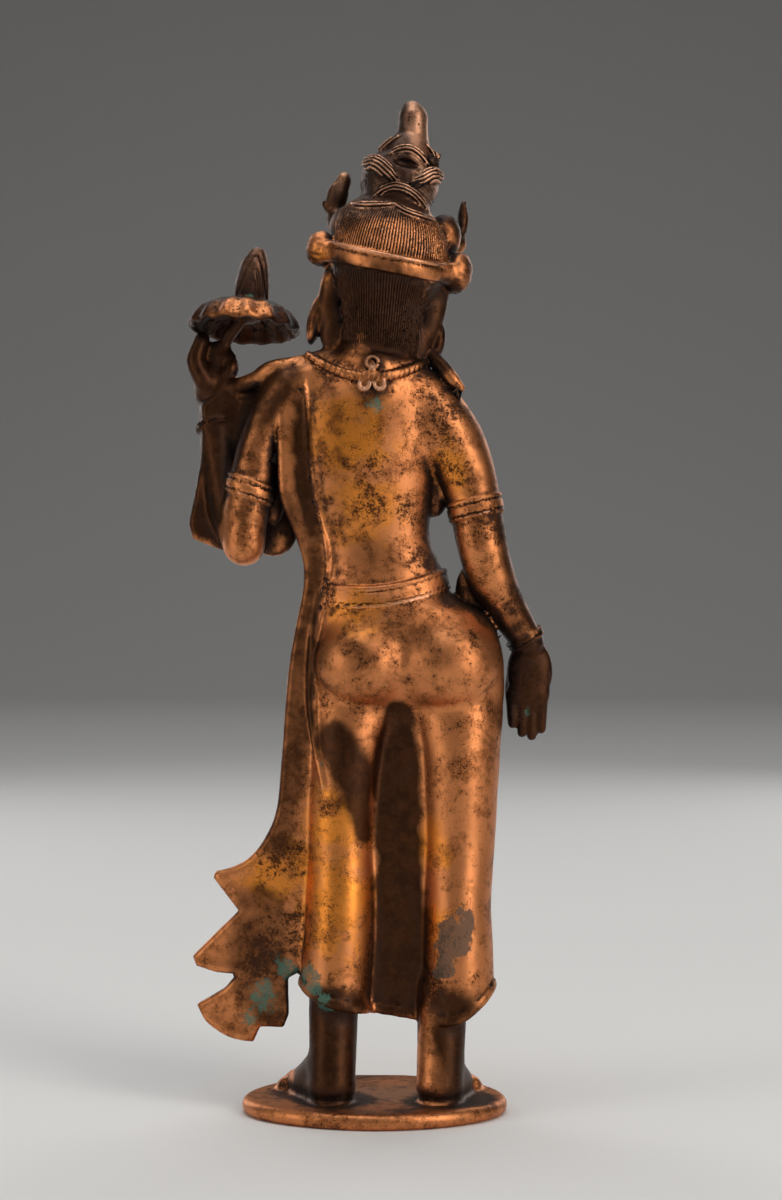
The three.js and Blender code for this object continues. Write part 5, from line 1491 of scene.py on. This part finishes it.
def copper():
    n = Nodes("patinated_copper_and_painted_light")
    broad = n.noise(34, 3, 0.55)
    cloudy = n.noise(130, 5, 0.62, 0.4)
    mottled = n.noise(420, 6, 0.68, 0.3)
    speckled = n.noise(1500, 5, 0.72)
    fine_specks = n.noise(2700, 3, 0.65)
    recess, stains_and_shade, film_and_shade, dust = (n.shade(name) for name in ("recess", "stains_and_shade", "film_and_shade", "dust"))

    def swing(value, amount):
        """A value round 0.5, as an offset."""
        return n.times(n.math("SUBTRACT", value, 0.5), amount)

    def total(*parts):
        sum_so_far = parts[0]
        for part in parts[1:]:
            sum_so_far = n.math("ADD", sum_so_far, part)
        return sum_so_far

    # Bare metal: golden where hands rubbed it and, as painted light, where the figure is lit; redder and
    # browner elsewhere
    gold_and_light_share = n.ramp(total(n.shade("golden_and_lit"), swing(broad, 1.0), swing(cloudy, 0.7)), 0.1, 1.1)
    metal = n.mix(gold_and_light_share, COPPER, GOLDEN_AND_LIT)
    brown_share = n.ramp(total(cloudy, swing(mottled, 0.9)), 0.42, 0.68, 0.1, 0.75)
    worn = n.math("SUBTRACT", 1.0, n.times(n.shade("worn"), 0.55))
    metal = n.mix(n.times(brown_share, worn), metal, BROWN)
    metal = n.mix(n.times(dust, 0.7), metal, DUSTY_METAL)

    # A brown film in the sheltered places, partly painted shade, then dirt with ragged borders: darker patina
    # in the hollows, and painted shade where the dark patches and the film lie
    film_and_shade_share = n.ramp(total(film_and_shade, swing(cloudy, 0.5), swing(mottled, 0.3)), 0.1, 0.75, 0.0, 0.94)
    film_and_shade_tone = n.mix(n.ramp(total(mottled, swing(cloudy, 0.8)), 0.36, 0.66), NEAR_BLACK, FILM_AND_SHADE_BROWN)
    metal = n.mix(film_and_shade_share, metal, n.mix(dust, film_and_shade_tone, DUSTY_FILM_AND_SHADE))
    dirt_and_shade = total(recess, swing(cloudy, 0.5), swing(mottled, 0.6), n.times(stains_and_shade, 0.16), n.times(film_and_shade, 0.14))
    dirt_and_shade_share = n.ramp(dirt_and_shade, 0.2, 0.6, 0.0, 0.92)
    metal = n.mix(dirt_and_shade_share, metal, DEEP_BROWN)
    metal = n.mix(n.ramp(dirt_and_shade, 0.5, 0.9, 0.0, 0.9), metal, NEAR_BLACK)

    # Pits and specks, denser in the hollows and in the dark patches, so a little painted shade there too
    speck = total(speckled, swing(mottled, 0.45), swing(cloudy, 0.4), n.times(stains_and_shade, 0.12))
    speck = total(speck, n.times(recess, 0.12))
    speck_share = n.ramp(speck, 0.6, 0.68, 0.0, 0.88)
    metal = n.mix(speck_share, metal, DEEP_BROWN)
    pepper = total(fine_specks, swing(cloudy, 0.3), swing(broad, 0.3))
    pepper_share = n.times(n.ramp(pepper, 0.61, 0.67, 0.0, 0.8), worn)
    metal = n.mix(pepper_share, metal, NEAR_BLACK)
    wave = n.math("COSINE", n.times(n.shade("strand"), 2 * math.pi))
    strand_share = n.shade("strand_share")
    between = n.times(n.ramp(wave, -0.3, 0.8), strand_share)
    on_top = n.times(n.ramp(wave, 0.0, -0.9), strand_share)
    groove_share = n.ramp(n.math("MAXIMUM", n.shade("grooves"), between), 0.1, 0.5, 0.0, 0.93)
    metal = n.mix(groove_share, metal, NEAR_BLACK)

    # Edges rubbed bright
    rub = total(n.shade("rub"), n.times(recess, -0.7), swing(mottled, 0.5))
    rub = total(rub, n.times(film_and_shade, -0.3), n.times(n.shade("polish"), 0.2))
    rub = total(rub, n.times(on_top, 0.42))
    rub_share = n.ramp(rub, 0.2, 0.6, 0.0, 0.68)
    metal = n.mix(rub_share, metal, WORN_PINK)

    # Grey crust and verdigris
    grey_share = total(n.shade("grey"), swing(mottled, 1.5), swing(speckled, 0.9))
    grey_share = n.ramp(grey_share, 0.4, 0.6, 0.0, 0.8)
    metal = n.mix(grey_share, metal, GREY_CRUST)
    green = total(n.shade("verdigris"), swing(speckled, 2.2), swing(mottled, 2.0))
    green_share = n.ramp(green, 0.6, 1.1, 0.0, 0.75)
    metal = n.mix(green_share, metal, VERDIGRIS_GREEN)
    n.feed(n.shader.inputs["Base Color"], metal)

    crust = n.math("MAXIMUM", green_share, grey_share)
    crust = n.math("MAXIMUM", crust, n.times(dirt_and_shade_share, 0.35))
    n.feed(n.shader.inputs["Metallic"], n.ramp(crust, 0.0, 1.0, 1.0, 0.1))
    rough = total(n.ramp(crust, 0.0, 0.8, 0.42, 0.64), swing(mottled, 0.22), n.times(speck_share, 0.16))
    n.feed(n.shader.inputs["Roughness"], rough)

    stretched = n.make(
        "ShaderNodeMapping",
        {"Vector": n.coordinates, "Rotation": (0.3, 0.7, 0.2), "Scale": (1.0, 1.0, 0.05)}
    )
    scratches = n.make("ShaderNodeTexNoise", {"Vector": stretched.outputs[0], "Scale": 2400.0, "Detail": 2.0})
    height = total(
        n.times(mottled, 0.5), n.times(speckled, 0.3),
        n.times(n.ramp(scratches.outputs[0], 0.66, 0.74), -0.1), n.times(speck_share, -0.16)
    )
    bump = n.make("ShaderNodeBump", {"Strength": 0.4, "Distance": 0.0003, "Height": height})
    n.feed(n.shader.inputs["Normal"], bump.outputs[0])
    return n.material


tara.data.materials.append(copper())

# Floor, light and camera. The floor runs back and curves up into a plain backdrop.
FLOOR_WIDTH = 12.0
FLOOR_FRONT = 4.0
FLOOR_BACK = -2.6
SWEEP_RADIUS = 1.2
BACKDROP_HEIGHT = 5.0
SWEEP_STEPS = 16


def sweep_profile():
    """Places (y, z) down the middle of the floor and up the backdrop."""
    places = [(FLOOR_FRONT, 0.0)]
    for step in range(SWEEP_STEPS + 1):
        angle = math.pi / 2 * step / SWEEP_STEPS
        back = FLOOR_BACK - SWEEP_RADIUS * math.sin(angle)
        places.append((back, SWEEP_RADIUS * (1 - math.cos(angle))))
    return places + [(FLOOR_BACK - SWEEP_RADIUS, BACKDROP_HEIGHT)]


half = FLOOR_WIDTH / 2
corners = [(side * half, back, up) for back, up in sweep_profile() for side in (-1, 1)]
strips = [(i, i + 1, i + 3, i + 2) for i in range(0, len(corners) - 2, 2)]
floor_mesh = bpy.data.meshes.new("floor")
floor_mesh.from_pydata(corners, [], strips)
floor_mesh.polygons.foreach_set("use_smooth", [True] * len(strips))
floor = bpy.data.objects.new("floor", floor_mesh)
bpy.context.scene.collection.objects.link(floor)
plaster = Nodes("pale_floor")
plaster.feed(plaster.shader.inputs["Base Color"], colour(0.80, 0.79, 0.77))
plaster.feed(plaster.shader.inputs["Roughness"], 0.9)
floor.data.materials.append(plaster.material)

world = bpy.data.worlds.new("studio")
world.use_nodes = True
background = world.node_tree.nodes["Background"].inputs
background["Color"].default_value = colour(0.8, 0.82, 0.85)
background["Strength"].default_value = 0.06
bpy.context.scene.world = world
bpy.context.scene.view_settings.view_transform = "Standard"

MIDDLE = Vector((0, 0, 0.13))


def soft_box(name, place, width, height, power, tint=(1, 1, 1)):
    """A rectangular lamp that faces the figure."""
    lamp = bpy.data.lights.new(name, "AREA")
    lamp.shape = "RECTANGLE"
    lamp.size, lamp.size_y, lamp.energy, lamp.color = width, height, power, tint
    stand = bpy.data.objects.new(name, lamp)
    stand.location = place
    stand.rotation_euler = (MIDDLE - Vector(place)).to_track_quat("-Z", "Y").to_euler()
    bpy.context.scene.collection.objects.link(stand)


soft_box("key_right", (-0.80, 0.75, 0.60), 0.45, 1.3, 7.4, (1, 0.95, 0.9))
soft_box("key_left", (0.95, 0.55, 0.25), 0.45, 1.3, 3.6, (1, 0.95, 0.88))
soft_box("fill", (0.25, 1.4, 0.9), 1.5, 1.1, 1.1, (1, 0.96, 0.92))
soft_box("top", (0.1, 0.15, 1.1), 0.8, 0.6, 3.6, (0.92, 0.96, 1))
soft_box("front_left", (0.7, -0.8, 0.45), 0.5, 0.8, 2.3)
soft_box("front_right", (-0.6, -0.9, 0.5), 0.5, 0.8, 2)
soft_box("backdrop", (0, -1.4, 2.6), 2.0, 2.0, 16)

CAMERA_PLACE = (-0.004, 0.630, 0.1311)
PHOTO_HEIGHT = 1200
FOCAL_LENGTH_IN_PIXELS = 2448.5
SENSOR = 36
lens = bpy.data.cameras.new("camera")
lens.sensor_width = SENSOR
lens.lens = SENSOR * FOCAL_LENGTH_IN_PIXELS / PHOTO_HEIGHT
lens.clip_start = 0.01
camera = bpy.data.objects.new("camera", lens)
camera.location = CAMERA_PLACE
camera.rotation_euler = Euler((math.pi / 2, 0, math.pi))
bpy.context.scene.collection.objects.link(camera)
bpy.context.scene.camera = camera
